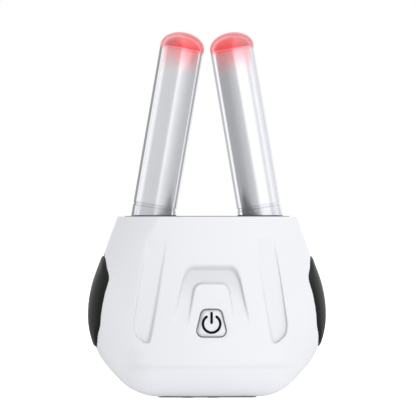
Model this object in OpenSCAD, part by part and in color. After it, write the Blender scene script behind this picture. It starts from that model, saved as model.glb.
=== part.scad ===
// A hand-held light therapy device: a white body with two clear probes that sprung side grips spread.
// Millimetres. X runs to the right, Y to the back and Z up. The origin is under the middle of the body.
// Each right-hand piece is mirrored to make the left-hand one.

/* [Body] */
// Width of the body across its side walls
body_w = 47.3; // [46:0.1:49]
// Height of the body's top rim
body_h = 36.2; // [35.6:0.1:38]
// Depth of the body at its middle
body_d = 24.6; // [24:0.1:27]
// Thickness of the shell walls
shell_wall = 1.4; // [1.1:0.1:1.6]
// Thickness of the shells' roof, with the recess for the top plate
roof_t = 2.3; // [2.1:0.1:2.6]
// Height of the shells' flat underside above the floor
shell_lift = 0.3; // [0.2:0.05:0.5]
// Height at which the body is widest
widest_z = 16.5; // [15.5:0.1:17.5]
// Radius of the side wall below its widest height
low_r = 16; // [14:0.5:18]
// Radius of the side wall above its widest height
up_r = 24; // [20:0.5:28]
// Lean of the lower side wall where it turns under, in degrees
lean_low = 43; // [40:1:46]
// Width of the top rim
rim_full_w = 35.72; // [34.8:0.02:36.4]
// Radius of the turn from the side wall to the underside
foot_r = 10.5; // [9:0.5:12]

/* [Front face] */
// Radius of the face's bow from side to side
bow_r = 43.5; // [40:0.5:60]
// Height of the face's lower edge
face_low_z = 6.4; // [5.8:0.1:7]
// Half width of the face at its lower corners
face_low_x = 13.9; // [13:0.1:14.5]
// Half width of the face at its widest
face_mid_x = 15.75; // [15:0.1:16.2]
// Height at which the face is widest
face_mid_z = 13.8; // [13:0.1:15]
// Half width of the face at its shoulders
face_top_x = 13.1; // [12.5:0.1:13.6]
// Distance of the face's shoulders below the rim
face_top_drop = 4.7; // [4:0.1:5.5]
// Half width of the face at the top rim
face_rim_x = 10.3; // [9.8:0.1:11]

/* [Channels] */
// Greatest depth of the channels in the face
channel_deep = 0.7; // [0.4:0.05:0.85]
// Distance below the rim at which the side channels fade out
channel_drop = 4.5; // [3.8:0.1:5.5]
// Height where the side channels end
channel_low_z = 10.9; // [10.2:0.1:12]
// Width of the side channels
channel_w = 4.1; // [3.2:0.1:4.4]
// Distance of the arch's outer top edge below the rim
arch_drop = 9.4; // [8.8:0.1:10.2]
// Height where the arch's legs fade out
arch_low_z = 14.4; // [13.8:0.1:15.5]
// Width of the arch's band
arch_band = 3.3; // [2.8:0.1:3.6]

/* [Power button] */
// Height of the button's lower edge
button_low_z = 12.35; // [11.8:0.05:12.6]
// Height of the button
button_h = 5.4; // [5:0.1:5.6]
// Width of the button's lower edge, before its corners are rounded
button_low_w = 6.5; // [6:0.1:6.8]
// Width of the button's upper edge, before its corners are rounded
button_top_w = 3.7; // [3.5:0.1:4.2]
// Gap around the button
button_gap = 0.25; // [0.15:0.05:0.35]
// Thickness of the button's cap
button_cap_t = 1.75; // [1.7:0.05:1.9]
// How far the button travels when it is pressed
button_travel = 0.4; // [0.3:0.05:0.6]
// Outer radius of the power symbol's ring
symbol_r = 1.98; // [1.7:0.01:2.1]
// Width of the power symbol's lines
symbol_line = 0.5; // [0.3:0.01:0.55]

/* [Grips] */
// Height of each grip's lower tip
grip_low_z = 10.1; // [9.5:0.1:10.8]
// Distance of each grip's upper tip below the rim
grip_drop = 7.7; // [7.2:0.1:8.4]
// Half width of each grip near its foot
grip_low_y = 4.2; // [3.8:0.05:4.5]
// Half width of each grip near its top
grip_top_y = 5; // [4.7:0.05:5.3]
// How far the grips stand proud of the side walls
grip_proud = 0.25; // [0.15:0.05:0.4]
// Thickness of the soft grips
grip_t = 1.6; // [1.3:0.1:1.8]
// Gap around each grip
grip_gap = 0.3; // [0.2:0.05:0.4]

/* [Probes] */
// Lean of each probe towards the middle, in degrees
tilt = 9.7; // [9:0.1:10.4]
// Outer diameter of the clear sleeves
sleeve_od = 8.8; // [8.4:0.1:9]
// Wall of the clear sleeves
sleeve_wall = 0.7; // [0.5:0.05:0.75]
// Outer diameter of the core tubes
core_od = 7; // [6.6:0.1:7.1]
// Wall of the core tubes
core_wall = 0.7; // [0.5:0.05:0.8]
// Height of the domed sleeve tips
dome_h = 3; // [2.6:0.1:3.6]
// Length of each probe from its hinge to the foot of its dome
probe_l = 39.4; // [37:0.1:41]
// Distance between the two probes' axes, where they leave the body
probe_pitch = 21.46; // [21.2:0.02:21.8]
// Outer diameter of the dark rings at the probes' feet
seal_od = 9; // [8.8:0.1:9.1]
// Height of those rings above the top plate
seal_show = 0.2; // [0.2:0.1:0.6]
// Length of the collar that shows above the top plate
collar_show = 1.65; // [1.5:0.05:3]
// Height of the gap line between collar and sleeve
hem_gap = 0.5; // [0.3:0.05:0.7]

/* [Hinges] */
// Depth of the hinge axes under the rim
hinge_drop = 5; // [4.8:0.1:5.2]
// How far each probe swings outwards, in degrees
swing = 5; // [4:0.5:5.5]
// Diameter of the hinge stubs
stub_d = 3; // [2.4:0.1:3.2]
// Radial clearance of the stubs in their bores
stub_fit = 0.05; // [0.03:0.01:0.09]

/* [Plates and contacts] */
// Thickness of the top plate
top_plate_t = 1.1; // [0.9:0.1:1.3]
// How far the top plate stands proud of the rim
top_proud = 0.1; // [0.05:0.05:0.2]
// Width of the white rim around the top plate
rim_w = 1.36; // [1.2:0.02:1.4]
// Width of the base plate
base_w = 19.4; // [18:0.1:19.6]
// Depth of the base plate
base_d = 7.4; // [7:0.1:7.6]
// How far the contacts stand out of the base plate
contact_proud = 0.15; // [0.1:0.01:0.2]
// Diameter of the contact pads
contact_d = 2.4; // [2.2:0.1:2.6]
// Distance between the two contacts
contact_pitch = 5.08; // [4.8:0.02:5.4]
// Sideways place of the contact pair's middle
contact_x = -1.35; // [-1.5:0.01:-1]

/* [Inside] */
// Distance of the frame plates from the middle plane
frame_y = 5.2; // [5.1:0.05:5.4]
// Thickness of the frame plates
frame_t = 1.2; // [1:0.1:1.3]
// Thickness of the circuit boards
board_t = 1; // [0.8:0.1:1.1]
// Width of the battery
battery_w = 21; // [19:0.1:21.2]
// Thickness of the battery
battery_t = 6; // [5.6:0.1:6.1]
// Distance of the battery's top below the hinge axes
battery_drop = 4.2; // [3.9:0.1:7]
// Diameter of the screws
screw_d = 1.6; // [1.4:0.1:1.8]
// Mean diameter of the grip springs
spring_d = 3.8; // [3.4:0.1:4.2]
// Wire diameter of the grip springs
spring_wire = 0.45; // [0.35:0.05:0.55]
// Turns of the grip springs
spring_turns = 5; // [3:1:6]

/* [Hidden] */
$fn = 48;

// Shared clearances: faces that seat on each other, and bodies that move past each other
seat = 0.05;
free = 0.3;
// How far a cutter reaches past what it cuts
past = 1;

// Colours
shell_white = [0.96, 0.96, 0.97];
plate_grey = [0.22, 0.22, 0.24];
frame_grey = [0.75, 0.76, 0.78];
rubber_grey = [0.16, 0.16, 0.18];
clear_plastic = [0.86, 0.92, 0.96, 0.4];
board_green = [0.1, 0.42, 0.25];

// Half sizes and heights that many pieces share
side_x = body_w / 2;
front_y = body_d / 2;
stub_r = stub_d / 2;
sleeve_r = sleeve_od / 2;
core_r = core_od / 2;
screw_r = screw_d / 2;
face_top_z = body_h - face_top_drop;
channel_top_z = body_h - channel_drop;
hinge_z = body_h - hinge_drop;
probe_x = probe_pitch / 2;
arch_top_z = body_h - arch_drop;
grip_top_z = body_h - grip_drop;

// Steps along the outlines and across the flanks
edge_steps = 5;
turn_steps = 5;
flank_steps = 8;
crown_steps = 3;

// Geometry helpers
function unit(v) = v / norm(v);
function line(p, q, n) = [for (i = [0:n - 1]) p + (q - p) * i / n];
function round_point(r, a) = r * [cos(a), sin(a)];
function arc(c, r, a, b, n) = [for (i = [0:n - 1]) c + round_point(r, a + (b - a) * i / n)];
function short_turn(a) = a > 180 ? a - 360 : a < -180 ? a + 360 : a;
function turn_back(a, b, c, r) = r * tan(short_turn_size(a, b, c) / 2);
function short_turn_size(a, b, c) = acos(max(-1, min(1, unit(b - a) * unit(c - b))));
function corner_start(a, b, c, r) = b + unit(a - b) * turn_back(a, b, c, r);
function corner(a, b, c, r, n) =
    let (s = corner_start(a, b, c, r),
        e = b + unit(c - b) * turn_back(a, b, c, r),
        m = b + unit(unit(a - b) + unit(c - b)) * norm([r, turn_back(a, b, c, r)]),
        from = atan2(s[1] - m[1], s[0] - m[0]),
        sweep = short_turn(atan2(e[1] - m[1], e[0] - m[0]) - from))
    [for (i = [0:n]) m + round_point(r, from + sweep * i / n)];
function rounded(points, radii, n) =
    let (k = len(points))
    [for (i = [0:k - 1]) each corner(points[(i + k - 1) % k], points[i], points[(i + 1) % k], radii[i], n)];
function flip(points) = [for (i = [len(points) - 1:-1:0]) [-points[i][0], points[i][1]]];
function box_outline(w, d) = [[-w / 2, -d / 2], [w / 2, -d / 2], [w / 2, d / 2], [-w / 2, d / 2]];

// A closed skin over rings of equal length, with a fan to a middle point at each end.
// The rings run anticlockwise when they are seen from the last one.
module skin(rings, first, last) {
    n = len(rings[0]);
    k = len(rings);
    points = concat([for (ring = rings) each ring], [first, last]);
    sides = [for (j = [0:k - 2]) for (i = [0:n - 1])
        let (a = j * n + i, b = j * n + (i + 1) % n, c = b + n, d = a + n) each [[a, c, b], [a, d, c]]];
    top = n * (k - 1);
    ends = [for (i = [0:n - 1])
        each [[n * k, i, (i + 1) % n], [n * k + 1, top + (i + 1) % n, top + i]]];
    polyhedron(points = points, faces = concat(sides, ends), convexity = 8);
}

// A round wire along a list of points
module wire(path, r, sides = 6) {
    k = len(path);
    ways = [for (i = [0:k - 1]) unit(path[min(i + 1, k - 1)] - path[max(i - 1, 0)])];
    rings = [for (i = [0:k - 1])
        let (w = ways[i],
            u = unit(cross(w, abs(w[1]) < 0.9 ? [0, 1, 0] : [1, 0, 0])),
            v = cross(w, u))
        [for (j = [0:sides - 1])
            let (turn = round_point(r, 360 * j / sides)) path[i] + u * turn[0] + v * turn[1]]];
    skin(rings, path[0], path[k - 1]);
}

// A flat piece in the X-Z plane, between two places along Y
module upright(y_from, y_to) {
    translate([0, y_to, 0])
        rotate([90, 0, 0])
            linear_extrude(y_to - y_from)
                children();
}

module both_sides() {
    children();
    mirror([1, 0, 0])
        children();
}

// The body's outline in its middle plane, from the middle of the underside up the right side
low_c = [side_x - low_r, widest_z];
up_c = [side_x - up_r, widest_z];
low_end = low_c + low_r * [cos(lean_low), -sin(lean_low)];
rim_x = rim_full_w / 2;
rim_way = [rim_x, body_h] - up_c;
lean_up = atan2(rim_way[1], rim_way[0]) - acos(min(1, up_r / norm(rim_way)));
up_end = up_c + up_r * [cos(lean_up), sin(lean_up)];
foot_top_z = shell_lift + foot_r * (1 - sin(lean_low));
foot_x = low_end[0] - (low_end[1] - foot_top_z) * tan(lean_low) - foot_r * cos(lean_low);
foot_c = [foot_x, shell_lift + foot_r];
shoulder_x = up_end[0] - (face_top_z - up_end[1]) * tan(lean_up);
side_half = concat(
    line([0, shell_lift], [foot_c[0], shell_lift], edge_steps),
    arc(foot_c, foot_r, -90, -lean_low, turn_steps),
    line(foot_c + foot_r * [cos(lean_low), -sin(lean_low)], low_end, 1),
    arc(low_c, low_r, -lean_low, 0, turn_steps),
    arc(up_c, up_r, 0, lean_up, turn_steps),
    line(up_end, [shoulder_x, face_top_z], 2),
    line([shoulder_x, face_top_z], [rim_x, body_h], 2),
    line([rim_x, body_h], [0, body_h], edge_steps));

// The front face's outline, with a point for each point of the middle outline
face_low_r = 2.2;
face_mid_r = 12;
face_low = [face_low_x, face_low_z];
face_mid = [face_mid_x, face_mid_z];
face_top = [face_top_x, face_top_z];
face_rim = [face_rim_x, body_h];
low_turn = corner([0, face_low_z], face_low, face_mid, face_low_r, turn_steps);
mid_turn = corner(face_low, face_mid, face_top, face_mid_r, 2 * turn_steps);
face_half = concat(
    line([0, face_low_z], low_turn[0], edge_steps),
    [for (i = [0:turn_steps - 1]) low_turn[i]],
    [low_turn[turn_steps]],
    [for (i = [0:2 * turn_steps - 1]) mid_turn[i]],
    line(mid_turn[2 * turn_steps], face_top, 2),
    line(face_top, face_rim, 2),
    line(face_rim, [0, body_h], edge_steps));

function whole(half, top) =
    concat(half, [[0, top]], [for (i = [len(half) - 1:-1:1]) [-half[i][0], half[i][1]]]);
side_ring = whole(side_half, body_h);
face_ring = whole(face_half, body_h);

// Distance of the bowed face from the middle plane at a place across it
function face_y(x) = front_y - bow_r + sqrt(bow_r * bow_r - x * x);
// Height gained towards the face: none over the flat underside, then a smooth rise
roll_power = 1.7;
base_flat = base_d / body_d;
function roll(t) = pow(max(0, t - base_flat) / (1 - base_flat), roll_power);
function flank_ring(t) = [for (i = [0:len(side_ring) - 1])
    let (m = side_ring[i], f = face_ring[i])
    [m[0] + (f[0] - m[0]) * t * t, -face_y(f[0]) * t, m[1] + (f[1] - m[1]) * roll(t)]];
face_mid_point = [0, -front_y, (face_low_z + body_h) / 2];
function crown_ring(s) = [for (f = face_ring)
    let (x = f[0] * (1 - s), z = face_mid_point[2] + (f[1] - face_mid_point[2]) * (1 - s))
    [x, -face_y(x), z]];
outer_rings = concat(
    [for (i = [0:flank_steps]) flank_ring(i / flank_steps)],
    [for (i = [1:crown_steps - 1]) crown_ring(i / crown_steps)]);

// The same surface, drawn in by the wall
cave_low_z = shell_lift + shell_wall;
cave_top_z = body_h - roof_t;
function inner(p) = [
    p[0] * (side_x - shell_wall) / side_x,
    p[1] * (front_y - shell_wall) / front_y,
    cave_low_z + (p[2] - shell_lift) * (cave_top_z - cave_low_z) / (body_h - shell_lift)];
inner_rings = [for (i = [len(outer_rings) - 1:-1:0]) [for (p = outer_rings[i]) inner(p)]];

// The flank's distance from the middle at a depth and a height
side_table = [for (p = side_half) if (p[1] > shell_lift + seat && p[1] < body_h - seat) [p[1], p[0]]];
face_table = [for (p = face_half) if (p[1] > face_low_z + seat && p[1] < body_h - seat) [p[1], p[0]]];
function side_at(z) = lookup(z, side_table);
function flank_x(y, z) =
    let (m = side_at(z), f = lookup(z, face_table), t = y / face_y(f))
    m - (m - f) * t * t;

// Top plate and roof
top_z = body_h + top_proud;
plate_low_z = top_z - top_plate_t;
ledge_x = rim_x - rim_w - seat;
boss_inset = 3.3;
ledge_inset = 5.1;
ledge_y = front_y - ledge_inset;
function top_outline(x_share, y_share) =
    let (side = [for (i = [0:flank_steps - 1])
            let (t = i / flank_steps) [rim_x + (face_rim_x - rim_x) * t * t, -face_y(face_rim_x) * t]],
        front = [for (i = [0:edge_steps]) let (x = face_rim_x * (1 - i / edge_steps)) [x, -face_y(x)]],
        quarter = concat(side, front),
        half = concat(quarter, [for (i = [len(quarter) - 2:-1:0]) [-quarter[i][0], quarter[i][1]]]),
        all = concat(half, [for (i = [len(half) - 2:-1:1]) [half[i][0], -half[i][1]]]))
    [for (p = all) [p[0] * x_share, p[1] * y_share]];
function share(size, less) = (size - less) / size;

// Base
base_z = contact_proud;
flange_lip = 1;
flange_w = base_w + 2 * flange_lip;
flange_d = base_d + flange_lip;
flange_low_z = cave_low_z + free;
flange_t = 1;
flange_top_z = flange_low_z + flange_t;
base_corner_r = 1.5;
contact_xs = [contact_x - contact_pitch / 2, contact_x + contact_pitch / 2];
contact_r = contact_d / 2;
contact_step_z = 1.2;
contact_step_r = contact_r + 0.4;
contact_tail_r = 0.5;

// Hinges and probes: the place along a probe is measured from its hinge axis
hinge_x = probe_x + (top_z - hinge_z) * tan(tilt);
function along(a) = [hinge_x - a * sin(tilt), 0, hinge_z + a * cos(tilt)];
shoulder_low = -2.2;
core_low = 3.2;
plug_l = 5.8;
shoulder_r = sleeve_r - 0.2;
seal_r = seal_od / 2;
seal_top_z = top_z + seal_show;
hem_low = (top_z - hinge_z) / cos(tilt) + collar_show;
hem_top = hem_low + hem_gap;
neck_r = sleeve_r - 0.25;
core_top = probe_l - 0.2;
cave_r = sleeve_r - sleeve_wall;
lens_r = cave_r - 0.1;
dome_wall = sleeve_wall;
lens_h = dome_h - dome_wall;
light_depth = 10;
light_low = probe_l - light_depth;
led_board_t = 0.8;
core_bore_r = core_r - core_wall;
ledge_bore_r = core_bore_r - 0.3;
lead_r = 0.45;
lead_hole_r = 1.1;
slot_r = seal_r + free;
slot_in_x = probe_x - 0.1;
slot_out_x = hinge_x - (plate_low_z - hinge_z) * tan(tilt - swing) + 0.1;
ear_low_y = frame_y;
ear_high_y = frame_y + frame_t;
ear_r = 2.4;

// Grips and levers
grip_low_corner_z = grip_low_z + 4.5;
grip_top_corner_z = grip_top_z - 4.6;
grip_low_turn = [grip_low_y * 0.52, grip_low_z + 1];
grip_top_turn = [grip_top_y * 0.58, grip_top_z - 1.3];
grip_mid_z = (grip_low_z + grip_top_z) / 2;
grip_tip_r = 1;
grip_corner_r = 2.5;
grip_steps = 5;
grip_side = [grip_low_turn, [grip_low_y, grip_low_corner_z], [grip_top_y, grip_top_corner_z], grip_top_turn];
grip_radii = [for (i = [0:3]) grip_corner_r];
grip_outline = rounded(
    concat([[0, grip_low_z]], grip_side, [[0, grip_top_z]], [for (i = [3:-1:0]) [-grip_side[i][0], grip_side[i][1]]]),
    concat([grip_tip_r], grip_radii, [grip_tip_r], grip_radii), grip_steps);
paddle_y = 2.2;
paddle_t = 1.8;
pad_edge_y = 3.1;
pad_back = side_at(grip_mid_z) - flank_x(pad_edge_y, grip_mid_z) + grip_t;
pad_seat = 0.2;
lever_out = pad_back + pad_seat;
lever_in = lever_out + paddle_t;
spring_z = 17.5;
tray_wall_t = 1.4;

// Frames and boards
frame_top_z = cave_top_z - free;
frame_low_z = 5.2;
tray_x = battery_w / 2 + 0.5;
tray_out_x = tray_x + tray_wall_t;
tray_floor_t = 1.1;
notch_w = 4;
notch_d = 1.6;
frame_low_x = 11.2;
frame_foot = 1.9;
frame_foot_x = 6;
frame_foot_w = 2;
post_r = 1.6;
low_post = [tray_out_x + 0.6, frame_low_z + 3];
high_post = [4.6, hinge_z - 0.2];
top_boss = [0, front_y - boss_inset];
boss_l = 7;
boss_bore_l = 6;
top_screw_l = 6;
rear_window_x = 6;
rear_window_low_z = 10;
rear_window_high_z = 22;
tray_wall_top_z = hinge_z - 5.2;
peg_l = 1.2;
board_back_y = -frame_y + board_t;
board_front_y = -frame_y;
board_w = 2 * tray_x - 2 * free;
board_low_z = frame_low_z + tray_floor_t + 0.2;
board_top_z = hinge_z - 3.9;
board_screw = [board_w / 2 - 1.1, 1.2];
battery_low_z = frame_low_z + tray_floor_t + 0.2;
battery_top_z = hinge_z - battery_drop;
battery_h = battery_top_z - battery_low_z;
battery_back_y = frame_y - 0.8;
switch_z = button_low_z + button_h / 2;
switch_w = 4.5;
switch_front_y = board_front_y - 2;
plunger_r = 1;
plunger_out = 0.6;
button_flange_t = 0.7;
cap_front_y = -front_y + 0.1;
cap_back_y = cap_front_y + button_cap_t;
flange_back_y = cap_back_y + button_flange_t;

// The button's outline, grown by a margin
function button_outline(grow) =
    rounded([[-button_low_w / 2 - grow, button_low_z - grow], [button_low_w / 2 + grow, button_low_z - grow],
            [button_top_w / 2 + grow, button_low_z + button_h + grow],
            [-button_top_w / 2 - grow, button_low_z + button_h + grow]],
        [for (i = [0:3]) button_corner_r + grow], turn_steps);
button_corner_r = 1.2;

// A channel's cutter: a band between two edge lines, with its floor under the bowed face
module channel(inner_edge, outer_edge, depths) {
    rings = [for (i = [0:len(depths) - 1])
        let (a = inner_edge[i], b = outer_edge[i])
        [[a[0], -face_y(a[0]) - past, a[1]], [b[0], -face_y(b[0]) - past, b[1]],
            [b[0], -face_y(b[0]) + depths[i], b[1]], [a[0], -face_y(a[0]) + depths[i], a[1]]]];
    last = len(rings) - 1;
    skin(rings, mean(rings[0]), mean(rings[last]));
}
function mean(points) = [for (i = [0:2]) sum_of(points, i) / len(points)];
function sum_of(points, i, k = 0) = k == len(points) ? 0 : points[k][i] + sum_of(points, i, k + 1);

// The right side channel, from its round lower end to where it fades out
channel_steps = 8;
module side_channel() {
    length = channel_top_z - channel_low_z;
    z_at = [for (i = [0:channel_steps]) channel_low_z + length * pow(i / channel_steps, 1.5)];
    inner_edge = [for (z = z_at) [side_channel_x(z), z]];
    outer_edge = [for (z = z_at)
        [side_channel_x(z) + channel_w * end_round((z - channel_low_z) / channel_end_l), z]];
    depths = [for (z = z_at) channel_deep * (channel_top_z - z) / length];
    channel(inner_edge, outer_edge, depths);
}
channel_end_l = 3.2;
channel_low_x = 12.3;
channel_lean = 0.155;
function side_channel_x(z) = channel_low_x - channel_lean * (z - channel_low_z);
function end_round(s) = s >= 1 ? 1 : 0.15 + 0.85 * sqrt(1 - (1 - s) * (1 - s));

// The arch over the button: one band that runs up the left leg, across and down the right leg
arch_turn_r = 2.4;
arch_low_x = 8.2;
arch_top_x = 5.3;
arch_inner_top = [3.2, 4.2];
module arch_channel() {
    outer_leg = [[arch_low_x, arch_low_z], [arch_top_x, arch_top_z]];
    inner_leg = [[arch_low_x - arch_band, arch_low_z], [arch_inner_top[0], arch_top_z - arch_inner_top[1]]];
    outer_half = arch_half(outer_leg, arch_turn_r);
    inner_half = arch_half(inner_leg, arch_turn_r - 1);
    outer_edge = concat(flip(outer_half), outer_half);
    inner_edge = concat(flip(inner_half), inner_half);
    length = arch_top_z - arch_low_z;
    depths = [for (p = outer_edge) channel_deep * min(1, 0.04 + 1.3 * (p[1] - arch_low_z) / length)];
    channel(outer_edge, inner_edge, depths);
}
function arch_half(leg, r) =
    let (turned = corner([0, leg[1][1]], leg[1], leg[0], r, 4))
    concat([[0.5, leg[1][1]]], turned, [(turned[4] + leg[0]) / 2, leg[0]]);

// The window of the right grip: the grip's outline with its gap, wider inside where the grip swings down
window_drop = 2;
window_flare = 0.4;
module grip_window() {
    function grown(grow, drop) = [for (p = grip_outline)
        let (d = [p[0], p[1] - grip_mid_z],
            g = d * (1 + grow / norm(d)),
            s = (grip_top_z - p[1]) / (grip_top_z - grip_low_z))
        [g[0], g[1] + grip_mid_z - drop * s]];
    function ring(grow, drop, out) = [for (p = grown(grow, drop)) [flank_x(p[0], p[1]) + out, p[0], p[1]]];
    deep = shell_wall + 2 * past;
    skin([ring(grip_gap + window_flare, window_drop, -deep),
            ring(grip_gap, 0, 0),
            ring(grip_gap, 0, 2 * past)],
        [side_at(grip_mid_z) - deep, 0, grip_mid_z],
        [side_at(grip_mid_z) + 2 * past, 0, grip_mid_z]);
}

// What both shells lose: the roof recess and opening, the base opening and the two grip windows
module shell_cuts() {
    translate([0, 0, plate_low_z - seat])
        linear_extrude(top_plate_t + past)
            polygon(top_outline(share(rim_x, rim_w - seat), share(front_y, rim_w - seat)));
    translate([0, 0, cave_top_z - past])
        linear_extrude(roof_t + 2 * past)
            polygon(top_outline(ledge_x / rim_x, ledge_y / front_y));
    translate([0, 0, -past])
        linear_extrude(cave_low_z + 2 * past)
            polygon(rounded(box_outline(base_w + 4 * seat, base_d + 4 * seat),
                [for (i = [0:3]) base_corner_r + 2 * seat], 3));
    both_sides()
        grip_window();
}

module shell_blank() {
    skin(concat(inner_rings, outer_rings),
        inner(face_mid_point), face_mid_point);
}

module screw_hole(z_top) {
    translate([top_boss[0], -top_boss[1], cave_top_z - past])
        cylinder(r = screw_r + 2 * seat, h = roof_t + 2 * past);
    translate([top_boss[0], -top_boss[1], z_top - screw_head_t])
        cylinder(r = screw_head_r + 2 * seat, h = screw_head_t + past);
}

module front_shell() {
    color(shell_white)
        difference() {
            shell_blank();
            shell_cuts();
            both_sides()
                side_channel();
            arch_channel();
            screw_hole(plate_low_z - seat);
            upright(-front_y - past, -front_y / 2)
                polygon(button_outline(button_gap));
        }
}

module rear_shell() {
    color(shell_white)
        mirror([0, 1, 0])
            difference() {
                shell_blank();
                shell_cuts();
                both_sides()
                    side_channel();
                screw_hole(plate_low_z - seat);
            }
}

module top_plate() {
    color(plate_grey)
        difference() {
            translate([0, 0, plate_low_z])
                linear_extrude(top_plate_t)
                    polygon(top_outline(share(rim_x, rim_w), share(front_y, rim_w)));
            both_sides()
                probe_slot();
        }
}

// A slot for the right probe, long enough for its swing
module probe_slot() {
    for (x = [slot_in_x, slot_out_x])
        translate([x, 0, plate_low_z - past])
            cylinder(r = slot_r, h = top_plate_t + 2 * past);
    translate([slot_in_x, -slot_r, plate_low_z - past])
        cube([slot_out_x - slot_in_x, 2 * slot_r, top_plate_t + 2 * past]);
}

module base_plate() {
    color(plate_grey)
        difference() {
            union() {
                translate([0, 0, base_z])
                    linear_extrude(flange_low_z - base_z)
                        polygon(rounded(box_outline(base_w, base_d), [for (i = [0:3]) base_corner_r], 3));
                translate([0, 0, flange_low_z])
                    linear_extrude(flange_top_z - flange_low_z)
                        polygon(rounded(box_outline(flange_w, flange_d), [for (i = [0:3]) base_corner_r], 3));
            }
            for (x = contact_xs) {
                translate([x, 0, 0])
                    cylinder(r = contact_r + seat, h = contact_step_z + past);
                translate([x, 0, contact_step_z])
                    cylinder(r = contact_step_r + seat, h = flange_top_z);
            }
        }
}

module charging_contacts() {
    color([0.85, 0.66, 0.3])
        for (x = contact_xs)
            translate([x, 0, 0]) {
                cylinder(r = contact_r, h = contact_step_z);
                translate([0, 0, contact_step_z])
                    cylinder(r = contact_step_r, h = flange_top_z - contact_step_z);
                translate([0, 0, flange_top_z])
                    cylinder(r = contact_tail_r, h = board_t + 0.3);
            }
}

contact_board_end = 2.5;
contact_board_side = 0.7;
contact_board_w = contact_pitch + 2 * contact_board_end;
contact_board_d = base_d - 2 * contact_board_side;
module contact_board() {
    color(board_green)
        difference() {
            translate([contact_x - contact_board_w / 2, -contact_board_d / 2, flange_top_z])
                cube([contact_board_w, contact_board_d, board_t]);
            for (x = contact_xs)
                translate([x, 0, flange_top_z - past])
                    cylinder(r = contact_tail_r + seat, h = board_t + 2 * past);
        }
}

// The outline that both frame plates share
module frame_outline() {
    polygon([[-frame_low_x, frame_low_z], [frame_low_x, frame_low_z], [low_post[0] + post_r, low_post[1]],
        [low_post[0] + post_r, hinge_z - ear_r], [hinge_x + ear_r - 0.6, frame_top_z],
        [-hinge_x - ear_r + 0.6, frame_top_z], [-low_post[0] - post_r, hinge_z - ear_r],
        [-low_post[0] - post_r, low_post[1]]]);
}

// A frame plate on the back side, with its hinge bores, and the boss that the top screw holds
module frame_plate(window_x, window_low, window_high) {
    difference() {
        union() {
            upright(ear_low_y, ear_high_y)
                frame_outline();
            translate([top_boss[0], top_boss[1], frame_top_z - boss_l])
                cylinder(r = post_r, h = boss_l);
            translate([top_boss[0] - post_r / 2, ear_low_y, frame_top_z - boss_l])
                cube([post_r, top_boss[1] - ear_low_y, boss_l]);
            both_sides()
                translate([frame_foot_x, ear_low_y, frame_low_z - frame_foot])
                    cube([frame_foot_w, frame_t, frame_foot + past]);
        }
        both_sides()
            translate([hinge_x, 0, hinge_z])
                rotate([-90, 0, 0])
                    cylinder(r = stub_r + stub_fit, h = ear_high_y + past);
        upright(ear_low_y - past, ear_high_y + past)
            polygon([[-window_x, window_low], [window_x, window_low], [window_x, window_high],
                [-window_x, window_high]]);
        translate([top_boss[0], top_boss[1], frame_top_z - boss_bore_l])
            cylinder(r = screw_r + seat, h = boss_bore_l + past);
    }
}

module front_frame() {
    color(frame_grey)
        difference() {
            mirror([0, 1, 0])
                frame_plate(board_screw[0] - 1.6, board_low_z + 2.6, board_top_z - 2.6);
            screw_places()
                cylinder(r = screw_r + 2 * seat, h = body_d, center = true);
            board_screw_places()
                cylinder(r = screw_r + seat, h = body_d, center = true);
        }
}

// The four screws that join the frames, and the four that hold the main board
module screw_places() {
    both_sides()
        for (p = [low_post, high_post])
            translate([p[0], 0, p[1]])
                rotate([90, 0, 0])
                    children();
}
module board_screw_places() {
    both_sides()
        for (z = [board_low_z + board_screw[1], board_top_z - board_screw[1]])
            translate([board_screw[0], 0, z])
                rotate([90, 0, 0])
                    children();
}

module rear_frame() {
    color(frame_grey)
        difference() {
            union() {
                frame_plate(rear_window_x, rear_window_low_z, rear_window_high_z);
                both_sides() {
                    translate([tray_x, board_back_y + seat, frame_low_z])
                        cube([tray_wall_t, frame_y - board_back_y, tray_wall_top_z - frame_low_z]);
                    translate([tray_out_x, 0, spring_z])
                        rotate([0, 90, 0])
                            cylinder(r = spring_peg_r, h = peg_l);
                }
                translate([-tray_x - seat, board_back_y + seat, frame_low_z])
                    cube([2 * tray_x + 2 * seat, frame_y - board_back_y, tray_floor_t]);
                screw_places()
                    translate([0, 0, -frame_y - seat])
                        cylinder(r = post_r, h = 2 * frame_y);
            }
            screw_places()
                translate([0, 0, frame_y - screw_bite])
                    cylinder(r = screw_r + seat, h = screw_bite + past);
            translate([contact_x - notch_w / 2, board_back_y, frame_low_z - past])
                cube([notch_w, notch_d, tray_floor_t + 2 * past]);
        }
}
spring_peg_r = spring_d / 2 - spring_wire / 2 - 0.4;
screw_bite = 6;
screw_head_r = screw_r + 0.6;
screw_head_t = 0.8;

// A screw with its head on the plane z = 0 and its shank below, for a cross driver
module screw(length) {
    difference() {
        union() {
            translate([0, 0, -length])
                cylinder(r = screw_r, h = length);
            cylinder(r = screw_head_r, h = screw_head_t);
        }
        for (a = [0, 90])
            rotate([0, 0, a])
                translate([-screw_r, -0.15, screw_head_t - 0.4])
                    cube([2 * screw_r, 0.3, 1]);
    }
}

module frame_screws() {
    color("silver")
        screw_places()
            translate([0, 0, ear_high_y])
                screw(frame_t + screw_bite - 0.5);
}

module board_screws() {
    color("silver")
        board_screw_places()
            translate([0, 0, -board_back_y])
                mirror([0, 0, 1])
                    screw(board_t + frame_t);
}

module top_screws() {
    color("silver")
        for (s = [-1, 1])
            translate([top_boss[0], s * top_boss[1], plate_low_z - seat - screw_head_t])
                screw(top_screw_l);
}

module main_board() {
    color(board_green)
        difference() {
            upright(board_front_y, board_back_y)
                polygon([[-board_w / 2, board_low_z], [board_w / 2, board_low_z], [board_w / 2, board_top_z],
                    [-board_w / 2, board_top_z]]);
            board_screw_places()
                cylinder(r = screw_r + 2 * seat, h = body_d, center = true);
        }
}

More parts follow.
